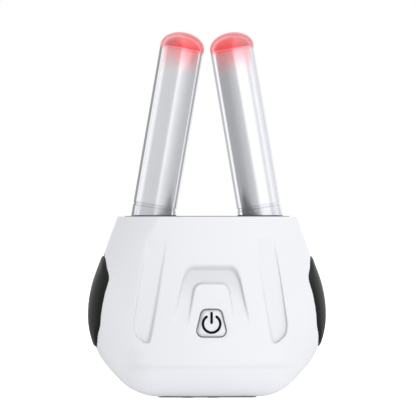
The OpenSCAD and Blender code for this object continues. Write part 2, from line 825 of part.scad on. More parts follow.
// Parts on the back of the main board: controller, driver, coil, capacitors and sockets
socket_size = [2.6, 2.2, 3];
socket_x = 6.4;
socket_z = board_top_z - 2.2;
battery_socket_size = [4, 2.2, 3];
charge_socket_size = [4, 1.8, 2.4];
charge_socket_z = board_low_z + 1.6;
controller_size = [4, 1, 4];
controller_at = [-4, 17];
driver_size = [3, 0.9, 3];
driver_at = [2.4, 18];
coil_size = [3, 1.8, 3];
coil_at = [5.6, 12];
capacitor_size = [1.6, 0.8, 0.8];
capacitor_at = [-6, 11.5];
capacitor_pitch = 2.5;
module board_parts() {
    color([0.12, 0.12, 0.13]) {
        on_board(controller_at, controller_size);
        on_board(driver_at, driver_size);
        on_board(coil_at, coil_size);
    }
    color([0.7, 0.6, 0.45])
        for (i = [0:2])
            on_board(capacitor_at + [i * capacitor_pitch, 0], capacitor_size);
    color("ivory") {
        both_sides()
            on_board([socket_x, socket_z], socket_size);
        on_board([0, socket_z], battery_socket_size);
        on_board([contact_x, charge_socket_z], charge_socket_size);
    }
}
module on_board(at, size) {
    translate([at[0] - size[0] / 2, board_back_y, at[1] - size[2] / 2])
        cube(size);
}

plunger_in = 0.9;
module power_switch() {
    hole_l = plunger_in + button_travel + seat;
    color("dimgray")
        difference() {
            translate([-switch_w / 2, switch_front_y, switch_z - switch_w / 2])
                cube([switch_w, board_front_y - switch_front_y, switch_w]);
            translate([0, switch_front_y + hole_l, switch_z])
                rotate([90, 0, 0])
                    cylinder(r = plunger_r + seat, h = hole_l + past);
        }
}

module battery() {
    color([0.72, 0.74, 0.78])
        translate([-battery_w / 2, battery_back_y - battery_t, battery_low_z])
            cube([battery_w, battery_t, battery_h]);
}

pad_inset = 2;
module battery_pad() {
    color("dimgray")
        translate([-battery_w / 2 + pad_inset, battery_back_y, battery_low_z + pad_inset])
            cube([battery_w - 2 * pad_inset, frame_y - battery_back_y, battery_h - 2 * pad_inset]);
}

battery_mid_y = battery_back_y - battery_t / 2;
// Half the distance between the battery leads at the battery and at their socket, and their bow
battery_lead_x = 2.4;
battery_plug_x = 1;
lead_bow = 1.5;
module battery_leads() {
    plug_y = board_back_y + battery_socket_size[1] / 2;
    plug_z = socket_z + battery_socket_size[2] / 2;
    for (s = [-1, 1])
        color(s < 0 ? "red" : "black")
            wire([[s * battery_lead_x, battery_mid_y, battery_top_z + seat],
                [s * battery_lead_x, battery_mid_y, battery_top_z + lead_bow / 2],
                [s * (battery_lead_x + battery_plug_x) / 2, battery_mid_y - lead_bow / 2,
                    battery_top_z + lead_bow],
                [s * battery_plug_x, plug_y + lead_bow / 2, battery_top_z + lead_bow],
                [s * battery_plug_x, plug_y, battery_top_z + lead_bow / 2 + 0.15],
                [s * battery_plug_x, plug_y, plug_z + seat]],
                lead_r);
}

charge_lead_x = 1.2;
charge_lead_r = 0.3;
module charge_leads() {
    board_z = flange_top_z + board_t;
    tab_y = -contact_board_d / 2 + 2 * charge_lead_r;
    plug_y = board_back_y + charge_socket_size[1] / 2;
    plug_z = charge_socket_z - charge_socket_size[2] / 2;
    for (s = [-1, 1])
        color(s < 0 ? "red" : "black")
            wire([[contact_x + s * charge_lead_x, tab_y, board_z + seat],
                [contact_x + s * charge_lead_x, tab_y - charge_lead_r / 3, board_z + 1.6 * charge_lead_r],
                [contact_x + s * charge_lead_x, plug_y, board_z + 3 * charge_lead_r],
                [contact_x + s * charge_lead_x, plug_y, plug_z - seat]],
                charge_lead_r);
}

// The compression spring between the tray and the right lever, as one unbroken helix
spring_rings = 12;
module right_spring() {
    spring_from = tray_out_x + spring_wire / 2 + seat;
    spring_to = lever_inner_x(spring_z) - spring_wire / 2 - 2 * seat;
    steps = spring_turns * spring_rings;
    color("silver")
        wire([for (i = [0:steps])
            [spring_from + (spring_to - spring_from) * i / steps,
                spring_d / 2 * sin(360 * i / spring_rings),
                spring_z + spring_d / 2 * cos(360 * i / spring_rings)]],
            spring_wire / 2);
}
function lever_inner_x(z) = side_at(z) - lever_in;

// The button: a cap with a flange behind the shell and a rod to the switch
module power_button() {
    chamfer = 0.3;
    function ring(outline, y) = [for (p = outline) [p[0], y, p[1]]];
    color(shell_white) {
        skin([ring(button_outline(0), cap_back_y), ring(button_outline(0), cap_front_y + chamfer),
                ring(button_outline(-chamfer), cap_front_y)],
            [0, cap_back_y, switch_z], [0, cap_front_y, switch_z]);
        upright(cap_back_y, flange_back_y)
            polygon(button_outline(button_gap + 0.6));
        translate([0, flange_back_y, switch_z])
            rotate([90, 0, 0])
                mirror([0, 0, 1])
                    cylinder(r = plunger_r + 0.4, h = switch_front_y - plunger_out - flange_back_y);
    }
}

module switch_plunger() {
    color("black")
        translate([0, switch_front_y + plunger_in, switch_z])
            rotate([90, 0, 0])
                cylinder(r = plunger_r, h = plunger_in + plunger_out);
}

// The power symbol on the cap: a ring that is open at the top, and a bar
symbol_t = 0.08;
symbol_gap = 35;
module power_symbol() {
    mid_r = symbol_r - symbol_line / 2;
    end_r = symbol_line / 2;
    ring_z = switch_z - 0.15;
    turn = 360 - 2 * symbol_gap;
    n = 36;
    function cap(a, from) = [for (i = [1:5])
        [0, ring_z] + round_point(mid_r, a) + round_point(end_r, from + 30 * i)];
    from = 90 + symbol_gap;
    to = from + turn;
    outer = [for (i = [0:n]) [0, ring_z] + round_point(symbol_r, from + turn * i / n)];
    inner_arc = [for (i = [n:-1:0]) [0, ring_z] + round_point(symbol_r - symbol_line, from + turn * i / n)];
    bar_top = ring_z + 2.4;
    color("black")
        upright(cap_front_y - symbol_t, cap_front_y) {
            polygon(concat(outer, cap(to, to), inner_arc, cap(from, from + 180)));
            polygon(rounded([[-end_r, ring_z], [end_r, ring_z], [end_r, bar_top], [-end_r, bar_top]],
                [for (i = [0:3]) end_r * 0.98], 5));
        }
}

// Places a piece along the right probe, with its axis on Z and the hinge at the origin
module on_probe() {
    translate([hinge_x, 0, hinge_z])
        rotate([0, -tilt, 0])
            children();
}

// A turned piece from the outline of its section, in radius and length
module turned(outline) {
    rotate_extrude()
        polygon(outline);
}

// The dome of a probe's tip: part of an ellipse from its foot to its top
dome_steps = 10;
function dome_point(r, h, z, i) = [r * cos(90 * i / dome_steps), z + h * sin(90 * i / dome_steps)];
function dome(r, h, z) = [for (i = [0:dome_steps]) dome_point(r, h, z, i)];
function dome_down(r, h, z) = [for (i = [dome_steps:-1:0]) dome_point(r, h, z, i)];

// The right lever: a shoulder on hinge stubs, a plug for the core tube and an arm to the grip
module right_lever() {
    low_z = grip_low_z + 2.5;
    high_z = grip_top_z - 2;
    steps = 8;
    z_at = [for (i = [0:steps]) low_z + (high_z - low_z) * i / steps];
    outer = [for (z = z_at) [side_at(z) - lever_out, z]];
    inner_edge = [for (i = [steps - 1:-1:0]) [side_at(z_at[i]) - lever_in, z_at[i]]];
    color(frame_grey)
        difference() {
            union() {
                upright(-paddle_y, paddle_y)
                    polygon(concat(outer,
                        [[side_at(high_z + 2) - lever_out - 0.3, high_z + 2],
                            [hinge_x + shoulder_r - 0.4, hinge_z + 1],
                            [hinge_x + 1, hinge_z],
                            [hinge_x + 1.5, hinge_z - 2.2],
                            [side_at(high_z) - lever_in - 0.6, high_z - 0.6]],
                        inner_edge));
                on_probe() {
                    translate([0, 0, shoulder_low])
                        cylinder(r = shoulder_r, h = core_low - shoulder_low);
                    cylinder(r = core_bore_r - seat, h = core_low + plug_l);
                    for (s = [-1, 1])
                        rotate([s * 90, 0, 0]) {
                            cylinder(r = stub_r, h = ear_high_y);
                            cylinder(r = stub_r + 0.6, h = ear_low_y - free);
                        }
                }
                translate([lever_inner_x(spring_z) + seat, 0, spring_z])
                    rotate([0, -90, 0])
                        cylinder(r = spring_peg_r, h = 1);
            }
            on_probe()
                translate([0, 0, shoulder_low - past])
                    cylinder(r = lead_hole_r, h = core_low + plug_l - shoulder_low + 2 * past);
        }
}

// The soft grip: its outline on the flank, proud of it, with a flat back on the lever
pad_flat = 0.45;
module right_grip() {
    function spread(s) = [for (p = grip_outline) [p[0] * s, grip_mid_z + (p[1] - grip_mid_z) * s]];
    function outside(s, proud) = [for (p = spread(s)) [flank_x(p[0], p[1]) + proud, p[0], p[1]]];
    function back(p) = min(side_at(p[1]) - pad_back, flank_x(p[0], p[1]) - grip_t);
    function inside(s) = [for (p = spread(s)) [back(p), p[0], p[1]]];
    color(rubber_grey)
        skin([inside(pad_flat / 2), inside(pad_flat), inside(0.65), inside(1), outside(1, 0),
                outside(0.94, grip_proud), outside(0.7, grip_proud), outside(0.35, grip_proud)],
            [back([0, grip_mid_z]), 0, grip_mid_z], [side_at(grip_mid_z) + grip_proud, 0, grip_mid_z]);
}

// The foot ring leans with the probe but ends on a level plane, and the collar stands on that plane
module right_seal_ring() {
    color(rubber_grey)
        difference() {
            on_probe()
                turned([[core_r + seat, core_low], [seal_r, core_low], [seal_r, hem_low],
                    [core_r + seat, hem_low]]);
            translate([0, -body_d / 2, seal_top_z])
                cube([body_w, body_d, hem_low]);
        }
}

module right_collar() {
    color(clear_plastic)
        difference() {
            on_probe()
                turned([[core_r + seat, core_low], [sleeve_r, core_low], [sleeve_r, hem_low],
                    [neck_r, hem_low], [neck_r, hem_top], [core_r + seat, hem_top]]);
            translate([0, -body_d / 2, hinge_z])
                cube([body_w, body_d, seal_top_z - hinge_z]);
        }
}

module right_core() {
    plug_top = core_low + plug_l + seat;
    color("silver")
        on_probe()
            turned([[core_bore_r, core_low], [core_r, core_low], [core_r, core_top], [core_bore_r, core_top],
                [core_bore_r, light_low], [ledge_bore_r, light_low], [ledge_bore_r, plug_top],
                [core_bore_r, plug_top]]);
}

module right_led_board() {
    color(board_green)
        on_probe()
            translate([0, 0, light_low])
                cylinder(r = core_bore_r - 2 * seat, h = led_board_t);
}

led_size = 1.3;
module right_leds() {
    color([0.95, 0.3, 0.25])
        on_probe()
            for (a = [90, 210, 330])
                rotate([0, 0, a])
                    translate([1.3 - led_size / 2, -led_size / 2, light_low + led_board_t])
                        cube([led_size, led_size, 0.7]);
}

spigot_l = 1.2;
module right_tip_lens() {
    spigot_r = core_bore_r - 2 * seat;
    color([0.93, 0.3, 0.32])
        on_probe()
            turned(concat(
                [[0, core_top - spigot_l], [spigot_r, core_top - spigot_l], [spigot_r, core_top],
                    [lens_r, core_top]],
                [for (p = dome(lens_r, lens_h - 2 * seat, probe_l)) p[0] < seat ? [0, p[1]] : p]));
}

module right_sleeve() {
    color(clear_plastic)
        on_probe()
            turned(concat([[cave_r, hem_top], [sleeve_r, hem_top]],
                [for (p = dome(sleeve_r, dome_h, probe_l)) p[0] < seat ? [0, p[1]] : p],
                [for (p = dome_down(cave_r, lens_h, probe_l)) p[0] < seat ? [0, p[1]] : p]));
}

// The lead of the right probe's light, down the core and over to its socket on the main board
module right_lead() {
    socket_top = socket_z + socket_size[2] / 2;
    socket_y = board_back_y + socket_size[1] / 2;
    color("white")
        wire([along(light_low - 2 * seat), along(light_low / 2), along(core_low), along(shoulder_low),
            along(shoulder_low - 1.2) + [-0.3, -0.3, 0], [hinge_x - 2.6, socket_y + 1.2, battery_top_z + 0.9],
            [socket_x + 0.4, socket_y, battery_top_z + 0.8], [socket_x, socket_y, socket_top + seat]],
            lead_r);
}

module left() {
    mirror([1, 0, 0])
        children();
}

front_shell();
rear_shell();
top_plate();
base_plate();
charging_contacts();
contact_board();
front_frame();
rear_frame();
frame_screws();
top_screws();
main_board();
board_parts();
board_screws();
power_switch();
battery();
battery_pad();
battery_leads();
charge_leads();
left() right_spring();  // left_spring
right_spring();
power_button();
power_symbol();
switch_plunger();
left() right_lever();  // left_lever
left() right_grip();  // left_grip
left() right_seal_ring();  // left_seal_ring
left() right_collar();  // left_collar
left() right_core();  // left_core
left() right_led_board();  // left_led_board
left() right_leds();  // left_leds
left() right_tip_lens();  // left_tip_lens
left() right_sleeve();  // left_sleeve
left() right_lead();  // left_lead
right_lever();
right_grip();
right_seal_ring();
right_collar();
right_core();
right_led_board();
right_leds();
right_tip_lens();
right_sleeve();
right_lead();
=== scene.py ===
"""A hand-held light therapy device: a white body with two clear probes that sprung side grips spread.

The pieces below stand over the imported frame. Sizes in the classes are millimetres, and every mesh is
written in metres at its own place, with the body's underside near z = 0 and its front towards -Y.
"""

import logging
import math
from dataclasses import dataclass, field
from enum import Enum
from typing import Sequence

import bpy
import numpy as np
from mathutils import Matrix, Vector


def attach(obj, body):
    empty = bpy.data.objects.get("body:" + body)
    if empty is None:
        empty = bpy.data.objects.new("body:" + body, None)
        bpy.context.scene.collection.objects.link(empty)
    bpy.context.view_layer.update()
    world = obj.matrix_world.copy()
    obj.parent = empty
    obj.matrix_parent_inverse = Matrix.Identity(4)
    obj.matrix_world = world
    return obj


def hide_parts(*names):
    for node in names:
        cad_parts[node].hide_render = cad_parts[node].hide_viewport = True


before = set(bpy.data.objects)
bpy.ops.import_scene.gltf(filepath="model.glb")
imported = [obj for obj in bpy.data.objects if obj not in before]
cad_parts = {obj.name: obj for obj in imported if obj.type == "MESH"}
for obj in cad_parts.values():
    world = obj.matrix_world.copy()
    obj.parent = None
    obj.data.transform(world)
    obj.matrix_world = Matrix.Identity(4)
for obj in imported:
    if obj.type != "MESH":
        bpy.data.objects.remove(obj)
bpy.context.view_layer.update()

MM = 0.001
TINY = 1e-12
HAIR = 1e-6
Array = np.ndarray
Point = Sequence[float]
Colour = tuple[float, float, float]
Piece = bpy.types.Object
Node = bpy.types.Node
Socket = bpy.types.NodeSocket
log = logging.getLogger("device")


# ---------------------------------------------------------------- shared mesh work


class Side(Enum):
    """Which of two mirrored pieces is meant; the value is the sign of its X."""

    LEFT = -1
    RIGHT = 1

    @property
    def word(self) -> str:
        """The side's name as the nodes spell it."""
        return self.name.lower()


class Axis(Enum):
    """The way a cutter runs; the value puts an outline's two places and the depth in X, Y, Z order."""

    Y = (0, 2, 1)
    Z = (0, 1, 2)


def smooth_step(value: Array) -> Array:
    """The cubic 3v^2 - 2v^3 of v held between 0 and 1."""
    v = np.clip(value, 0.0, 1.0)
    return v * v * (3.0 - 2.0 * v)


def rolled(away: Array, width: Array | float) -> Array:
    """The share (1 - d / w)^2 of a roll's depth at a distance d from its edge, and none past its width w."""
    return np.clip(1 - away / width, 0, 1) ** 2


def at_least(least: float, share: Array) -> Array:
    """A share that runs from least to 1 while the given one runs from 0 to 1."""
    return least + (1 - least) * share


def columns(*values: Array | float) -> Array:
    """Coordinates side by side on a new last axis, each spread to the shape of the others."""
    return np.stack(np.broadcast_arrays(*values), axis=-1)


def line(start: Point, end: Point, count: int) -> Array:
    """Points at even distances from start to just before end, (count, 2)."""
    t = np.arange(count)[:, None] / count
    return np.asarray(start, float) + (np.asarray(end, float) - np.asarray(start, float)) * t


def arc(centre: Point, radius: float, start: float, end: float, count: int) -> Array:
    """Points centre + radius (cos a, sin a), with a from start to just before end in degrees, (count, 2)."""
    a = np.radians(start + (end - start) * np.arange(count) / count)
    return np.asarray(centre, float) + radius * columns(np.cos(a), np.sin(a))


def circle(count: int, start: float = 0.0) -> Array:
    """Points on the unit circle, the first at an angle in radians, (count, 2)."""
    a = start + np.linspace(0, 2 * np.pi, count, endpoint=False)
    return columns(np.cos(a), np.sin(a))


def rounded_corner(a: Point, b: Point, c: Point, radius: float, count: int) -> Array:
    """The arc of a circle that touches both legs of the corner a-b-c.

    Args:
        a: Point on the leg that comes in.
        b: The corner.
        c: Point on the leg that goes out.
        radius: Radius of the arc.
        count: Points on the arc, both ends counted.
    Returns:
        Array of count rows.
    """
    a, b, c = (np.asarray(p, float) for p in (a, b, c))
    u, w = (a - b) / np.linalg.norm(a - b), (c - b) / np.linalg.norm(c - b)
    half = math.acos(float(np.clip(-u @ w, -1, 1))) / 2
    back = radius * math.tan(half)
    middle = b + (u + w) / np.linalg.norm(u + w) * math.hypot(radius, back)
    p, q = b + u * back - middle, b + w * back - middle
    start = math.atan2(p[1], p[0])
    sweep = (math.atan2(q[1], q[0]) - start + math.pi) % (2 * math.pi) - math.pi
    t = start + sweep * np.linspace(0, 1, count)
    return middle + radius * columns(np.cos(t), np.sin(t))


def rounded_outline(points: Sequence[Point], radii: Sequence[float], count: int) -> Array:
    """A closed outline with its corners rounded.

    Args:
        points: The corners in order.
        radii: A radius for each corner, or 0 to keep it.
        count: Points on each arc.
    Returns:
        Array of all points in order.
    """
    after = [*points[1:], points[0]]
    return np.vstack([rounded_corner(points[i - 1], p, after[i], radii[i], count) if radii[i] else [p]
                      for i, p in enumerate(points)])


def run_along(points: Array) -> Array:
    """Distance along a line of points at each of them."""
    return np.concatenate([[0.0], np.cumsum(np.linalg.norm(np.diff(points, axis=0), axis=1))])


def even_outline(points: Array, count: int) -> Array:
    """The closed outline again from its first point, with points at even distances.

    Args:
        points: Closed outline.
        count: How many points.
    Returns:
        Array of count rows.
    """
    loop = np.vstack([points, points[:1]])
    run = run_along(loop)
    s = run[-1] * np.arange(count) / count
    return columns(*(np.interp(s, run, places) for places in loop.T))


def smooth_path(points: Sequence[Point], count: int) -> Array:
    """A smooth line through points: the cubic whose way at each point is half that between its neighbours.

    Between b and c, with a before and d after, it is half of
    2b + (c - a) t + (2a - 5b + 4c - d) t^2 + (3b - a - 3c + d) t^3.

    Args:
        points: Points on the line.
        count: How many points for each stretch.
    Returns:
        Array of all points in order.
    """
    p = np.asarray(points, float)
    p = np.vstack([2 * p[0] - p[1], p, 2 * p[-1] - p[-2]])
    a, b, c, d = (p[k : len(p) - 3 + k, None] for k in range(4))
    t = np.arange(count)[None, :, None] / count
    path = (2 * b + (c - a) * t + (2 * a - 5 * b + 4 * c - d) * t**2 + (3 * b - a - 3 * c + d) * t**3) / 2
    return np.vstack([path.reshape(-1, 2), p[-2:-1]])


def path_distance(points: Array, path: Array, closed: bool = True) -> Array:
    """Distance of each point from a line of straight stretches.

    Each stretch gives |p - (a + t (b - a))| with t = (p - a).(b - a) / |b - a|^2 held to 0..1,
    and the least of them is kept.

    Args:
        points: Points, (n, 2).
        path: Corners of the line, (m, 2).
        closed: Whether the last corner joins the first.
    Returns:
        Distances, (n,).
    """
    a = path if closed else path[:-1]
    b = np.roll(path, -1, axis=0) if closed else path[1:]
    least = np.full(len(points), np.inf)
    for p, q in zip(a, b):
        way = q - p
        t = np.clip((points - p) @ way / max(way @ way, TINY), 0, 1)
        least = np.minimum(least, np.linalg.norm(points - p - t[:, None] * way, axis=1))
    return least


def inside(points: Array, outline: Array) -> Array:
    """Whether each point is inside a closed outline: an odd number of its edges cross the ray to +x.

    Args:
        points: Points, (n, 2).
        outline: Corners, (m, 2).
    Returns:
        Booleans, (n,).
    """
    odd = np.zeros(len(points), bool)
    for p, q in zip(outline, np.roll(outline, -1, axis=0)):
        spans = (p[1] > points[:, 1]) != (q[1] > points[:, 1])
        rise = q[1] - p[1] if abs(q[1] - p[1]) > TINY else TINY
        odd ^= spans & (points[:, 0] < (q[0] - p[0]) * (points[:, 1] - p[1]) / rise + p[0])
    return odd


def distance_outside(points: Array, outline: Array) -> Array:
    """Distance of each point from a closed outline, or 0 inside it."""
    return np.where(inside(points, outline), 0.0, path_distance(points, outline))


def grid_quads(grid: Array) -> Array:
    """Quads between the rows and columns of a grid of vertex numbers, (n, 4)."""
    return columns(grid[:-1, :-1], grid[:-1, 1:], grid[1:, 1:], grid[1:, :-1]).reshape(-1, 4)


def strip_quads(rings: Array) -> Array:
    """Quads (a_i, b_i, b_i+1, a_i+1) between rings of vertex numbers, each ring closed on itself, (n, 4)."""
    a, b = rings[:-1], rings[1:]
    return columns(a, b, np.roll(b, -1, axis=1), np.roll(a, -1, axis=1)).reshape(-1, 4)


def fan(ring: Array, point: int) -> Array:
    """Triangles (a_i, point, a_i+1) from a closed ring of vertex numbers to one vertex, (n, 3)."""
    return columns(ring, point, np.roll(ring, -1))


def volume(points: Array, faces: Sequence[Array]) -> float:
    """Volume inside closed faces: a sixth of the sum of a . (b x c) over their triangles.

    Args:
        points: Vertices, (n, 3).
        faces: Arrays of quads or triangles.
    Returns:
        The volume, below zero where the faces point inwards.
    """
    total = 0.0
    for group in faces:
        for k in range(1, group.shape[1] - 1):
            a, b, c = points[group[:, 0]], points[group[:, k]], points[group[:, k + 1]]
            total += float(np.einsum("ij,ij->", a, np.cross(b, c))) / 6
    return total


def placed(name: str, data: bpy.types.ID) -> Piece:
    """A new object over its data, linked to the scene."""
    piece = bpy.data.objects.new(name, data)
    bpy.context.scene.collection.objects.link(piece)
    return piece


def shade(piece: Piece, sharp: float) -> None:
    """Shades a piece smooth, but for edges that turn by more than so many degrees."""
    piece.data.shade_smooth()
    piece.data.set_sharp_from_angle(angle=math.radians(sharp))


def make_mesh(name: str, points: Array, faces: Sequence[Array], sharp: float = 35.0) -> Piece:
    """A smooth-shaded object from arrays, its faces outwards.

    Args:
        name: Name of the object and its mesh.
        points: Vertices in millimetres, (n, 3).
        faces: Arrays of quads or triangles.
        sharp: Edges that turn by more than this many degrees stay sharp.
    Returns:
        The linked object.
    """
    if volume(points, faces) < 0:
        faces = [group[:, ::-1] for group in faces]
    mesh = bpy.data.meshes.new(name)
    mesh.vertices.add(len(points))
    mesh.vertices.foreach_set("co", (points * MM).astype(np.float32).ravel())
    corners = np.concatenate([group.ravel() for group in faces]).astype(np.int32)
    sizes = np.concatenate([np.full(len(group), group.shape[1]) for group in faces])
    mesh.loops.add(len(corners))
    mesh.loops.foreach_set("vertex_index", corners)
    mesh.polygons.add(len(sizes))
    mesh.polygons.foreach_set("loop_start", np.concatenate([[0], np.cumsum(sizes)[:-1]]).astype(np.int32))
    mesh.update(calc_edges=True)
    mesh.validate()
    piece = placed(name, mesh)
    shade(piece, sharp)
    return piece


def ring_solid(name: str, rings: Array, first: Array, last: Array, sharp: float = 35.0) -> Piece:
    """A closed solid over rings of equal length, with a fan to a middle point at each end.

    Args:
        name: Name of the object.
        rings: Points, (rings, points, 3).
        first: Middle point of the first ring's fan.
        last: Middle point of the last ring's fan.
        sharp: Edges that turn by more than this many degrees stay sharp.
    Returns:
        The linked object.
    """
    k, n = rings.shape[:2]
    numbers = np.arange(k * n).reshape(k, n)
    points = np.vstack([rings.reshape(-1, 3), first, last])
    faces = [strip_quads(numbers), fan(numbers[0], k * n)[:, ::-1], fan(numbers[-1], k * n + 1)]
    return make_mesh(name, points, faces, sharp)


def prism(name: str, outline: Array, low: float, high: float, axis: Axis = Axis.Z) -> Piece:
    """A straight cutter over an outline, from low to high along an axis."""
    rings = np.stack([columns(*outline.T, depth)[:, axis.value] for depth in (low, high)])
    return ring_solid(name, rings, rings[0].mean(0), rings[1].mean(0))


def carve(piece: Piece, cutters: Sequence[Piece]) -> None:
    """Cuts the cutters out of a piece and deletes them.

    Args:
        piece: The object that is cut.
        cutters: Closed solids.
    """
    for cutter in cutters:
        cut = piece.modifiers.new("cut", "BOOLEAN")
        cut.operation, cut.solver, cut.object = "DIFFERENCE", "MANIFOLD", cutter
        depsgraph = bpy.context.evaluated_depsgraph_get()
        done = bpy.data.meshes.new_from_object(piece.evaluated_get(depsgraph))
        piece.modifiers.clear()
        old, piece.data = piece.data, done
        done.name = old.name
        done.materials.clear()
        bpy.data.meshes.remove(old)
        bpy.data.objects.remove(cutter)


def vertices(piece: Piece) -> Array:
    """The vertices of a piece in millimetres, (n, 3)."""
    points = np.empty(len(piece.data.vertices) * 3)
    piece.data.vertices.foreach_get("co", points)
    return points.reshape(-1, 3) / MM


def write_shade(piece: Piece, value: Array) -> None:
    """Writes a share for each vertex to the attribute that TonedFinish reads."""
    layer = piece.data.attributes.new("shade", "FLOAT", "POINT")
    layer.data.foreach_set("value", value.astype(np.float32))


def dress(piece: Piece, finishes: Sequence["Finish"], effects: "Effects",
          node: str, body: str) -> None:
    """Gives a piece its finishes and its place in the frame.

    Args:
        piece: The new piece.
        finishes: One finish for each of its material numbers.
        effects: The shared groups.
        node: The CAD node that it replaces.
        body: The moving body that it rides on.
    """
    for finish in finishes:
        piece.data.materials.append(finish.material(effects))
    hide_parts(node)
    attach(piece, body)
    log.info("%s: %d faces", piece.name, len(piece.data.polygons))


# ---------------------------------------------------------------- the body's form


@dataclass(frozen=True)
class Outline:
    """Half of an outline in the X-Z plane, from the middle of its foot up to the middle of its top.

    It has eight stretches, and each stretch of one outline answers to the same one of the other.
    """

    points: Array

    @property
    def run(self) -> Array:
        """Distance along the outline at each of its points."""
        return run_along(self.points)

    def at(self, s: Array) -> Array:
        """Points at the distances s along the outline, (n, 2)."""
        run = self.run
        return columns(*(np.interp(s, run, places) for places in self.points.T))


@dataclass(frozen=True)
class BodyForm:
    """The body: two bowed faces joined by flanks that swell at the sides."""

    width: float = 47.3
    height: float = 36.2
    depth: float = 24.6
    wall: float = 1.4
    roof: float = 2.3
    lift: float = 0.3
    widest_z: float = 16.5
    low_r: float = 16.0
    up_r: float = 24.0
    lean_low: float = 43.0
    rim_x: float = 17.86
    foot_r: float = 10.5
    bow_r: float = 43.5
    face_low: tuple[float, float] = (13.9, 6.4)
    face_mid: tuple[float, float] = (15.75, 13.8)
    face_top: tuple[float, float] = (13.1, 31.5)
    face_rim_x: float = 10.3
    face_low_r: float = 2.2
    face_mid_r: float = 12.0
    base_flat: float = 7.4 / 24.6
    roll_power: float = 1.7
    samples: int = 48
    rim_samples: tuple[int, int] = (40, 24)
    step: float = 0.05
    blend: float = 3.0
    tries: int = 12
    pull: float = 0.8

    @property
    def front(self) -> float:
        """Distance of the face's middle from the middle plane."""
        return self.depth / 2

    @property
    def rim(self) -> int:
        """Number of the outlines' point at the rim, where the last of their eight stretches starts."""
        return 7 * self.samples

    def side_outline(self) -> Outline:
        """The outline in the middle plane: flat foot, three arcs, then a straight lean to the rim."""
        n, low = self.samples, self.lean_low
        low_c = np.array([self.width / 2 - self.low_r, self.widest_z])
        up_c = np.array([self.width / 2 - self.up_r, self.widest_z])
        rim = [self.rim_x, self.height]
        to_rim = np.array(rim) - up_c
        lean = math.atan2(to_rim[1], to_rim[0]) - math.acos(self.up_r / np.linalg.norm(to_rim))
        cos, sin = math.cos(math.radians(low)), math.sin(math.radians(low))
        low_end = low_c + self.low_r * np.array([cos, -sin])
        up_end = up_c + self.up_r * np.array([math.cos(lean), math.sin(lean)])
        foot_top = self.lift + self.foot_r * (1 - sin)
        foot_x = low_end[0] - (low_end[1] - foot_top) * math.tan(math.radians(low)) - self.foot_r * cos
        foot_c = np.array([foot_x, self.lift + self.foot_r])
        shoulder = [up_end[0] - (self.face_top[1] - up_end[1]) * math.tan(lean), self.face_top[1]]
        return self._outline([
            line([0, self.lift], [foot_x, self.lift], n),
            arc(foot_c, self.foot_r, -90, -low, n),
            line(foot_c + self.foot_r * np.array([cos, -sin]), low_end, n),
            arc(low_c, self.low_r, -low, 0, n),
            arc(up_c, self.up_r, 0, math.degrees(lean), n),
            line(up_end, shoulder, n),
            line(shoulder, rim, n),
            line(rim, [0, self.height], n),
        ])

    def face_outline(self) -> Outline:
        """The face's outline, with one stretch for each stretch of the middle outline."""
        n = self.samples
        low = rounded_corner([0, self.face_low[1]], self.face_low, self.face_mid, self.face_low_r, n + 1)
        mid = rounded_corner(self.face_low, self.face_mid, self.face_top, self.face_mid_r, 2 * n + 1)
        rim = [self.face_rim_x, self.height]
        return self._outline([
            line([0, self.face_low[1]], low[0], n),
            low[:-1],
            line(low[-1], mid[0], n),
            mid[:n],
            mid[n:-1],
            line(mid[-1], self.face_top, n),
            line(self.face_top, rim, n),
            line(rim, [0, self.height], n),
        ])

    def _outline(self, parts: list[Array]) -> Outline:
        """Joins stretches of equal count and closes them at the top's middle."""
        return Outline(np.vstack([*parts, [0.0, self.height]]))

    def matched_run(self, face_run: Array) -> Array:
        """Distances along the middle outline that answer to distances along the face's outline.

        The stretches answer to each other. Below the rim the map is averaged over a few millimetres,
        so that the flank has no creases where one stretch ends.

        Args:
            face_run: Distances along the face's outline.
        Returns:
            Distances along the middle outline.
        """
        rim, f, s = self.rim, self.face_outline().run, self.side_outline().run
        even = np.append(np.arange(0, f[rim], self.step), f[rim])
        exact = np.interp(even, f[: rim + 1], s[: rim + 1])
        k = int(self.blend / self.step)
        ends = np.concatenate([2 * exact[0] - exact[k:0:-1], exact, 2 * exact[-1] - exact[-2 : -k - 2 : -1]])
        window = np.hanning(2 * k + 1)
        low = np.interp(face_run, even, np.convolve(ends, window / window.sum(), mode="valid"))
        return np.where(face_run <= f[rim], low, np.interp(face_run, f[rim:], s[rim:]))

    def face_y(self, x: Array) -> Array:
        """Distance of the bowed face from the middle plane: front - r + sqrt(r^2 - x^2)."""
        return self.front - self.bow_r + np.sqrt(self.bow_r**2 - np.asarray(x, float) ** 2)

    def roll(self, t: Array) -> Array:
        """Share of the climb from the middle outline to the face: none on the flat, then a power."""
        return (np.maximum(0.0, t - self.base_flat) / (1 - self.base_flat)) ** self.roll_power

    def flank(self, side: Array, face: Array, t: Array) -> Array:
        """Points between the middle plane (t = 0) and the face's edge (t = 1).

        x = Mx + (Fx - Mx) t^2, y = -face_y(Fx) t and z = Mz + (Fz - Mz) roll(t), with M on the middle
        outline and F on the face's.

        Args:
            side: Points M, (n, 2).
            face: Points F, (n, 2).
            t: Shares, (m,).
        Returns:
            Points, (m, n, 3).
        """
        share = np.asarray(t, float)[:, None]
        return columns(side[:, 0] + (face[:, 0] - side[:, 0]) * share**2, -self.face_y(face[:, 0]) * share,
                       side[:, 1] + (face[:, 1] - side[:, 1]) * self.roll(share))

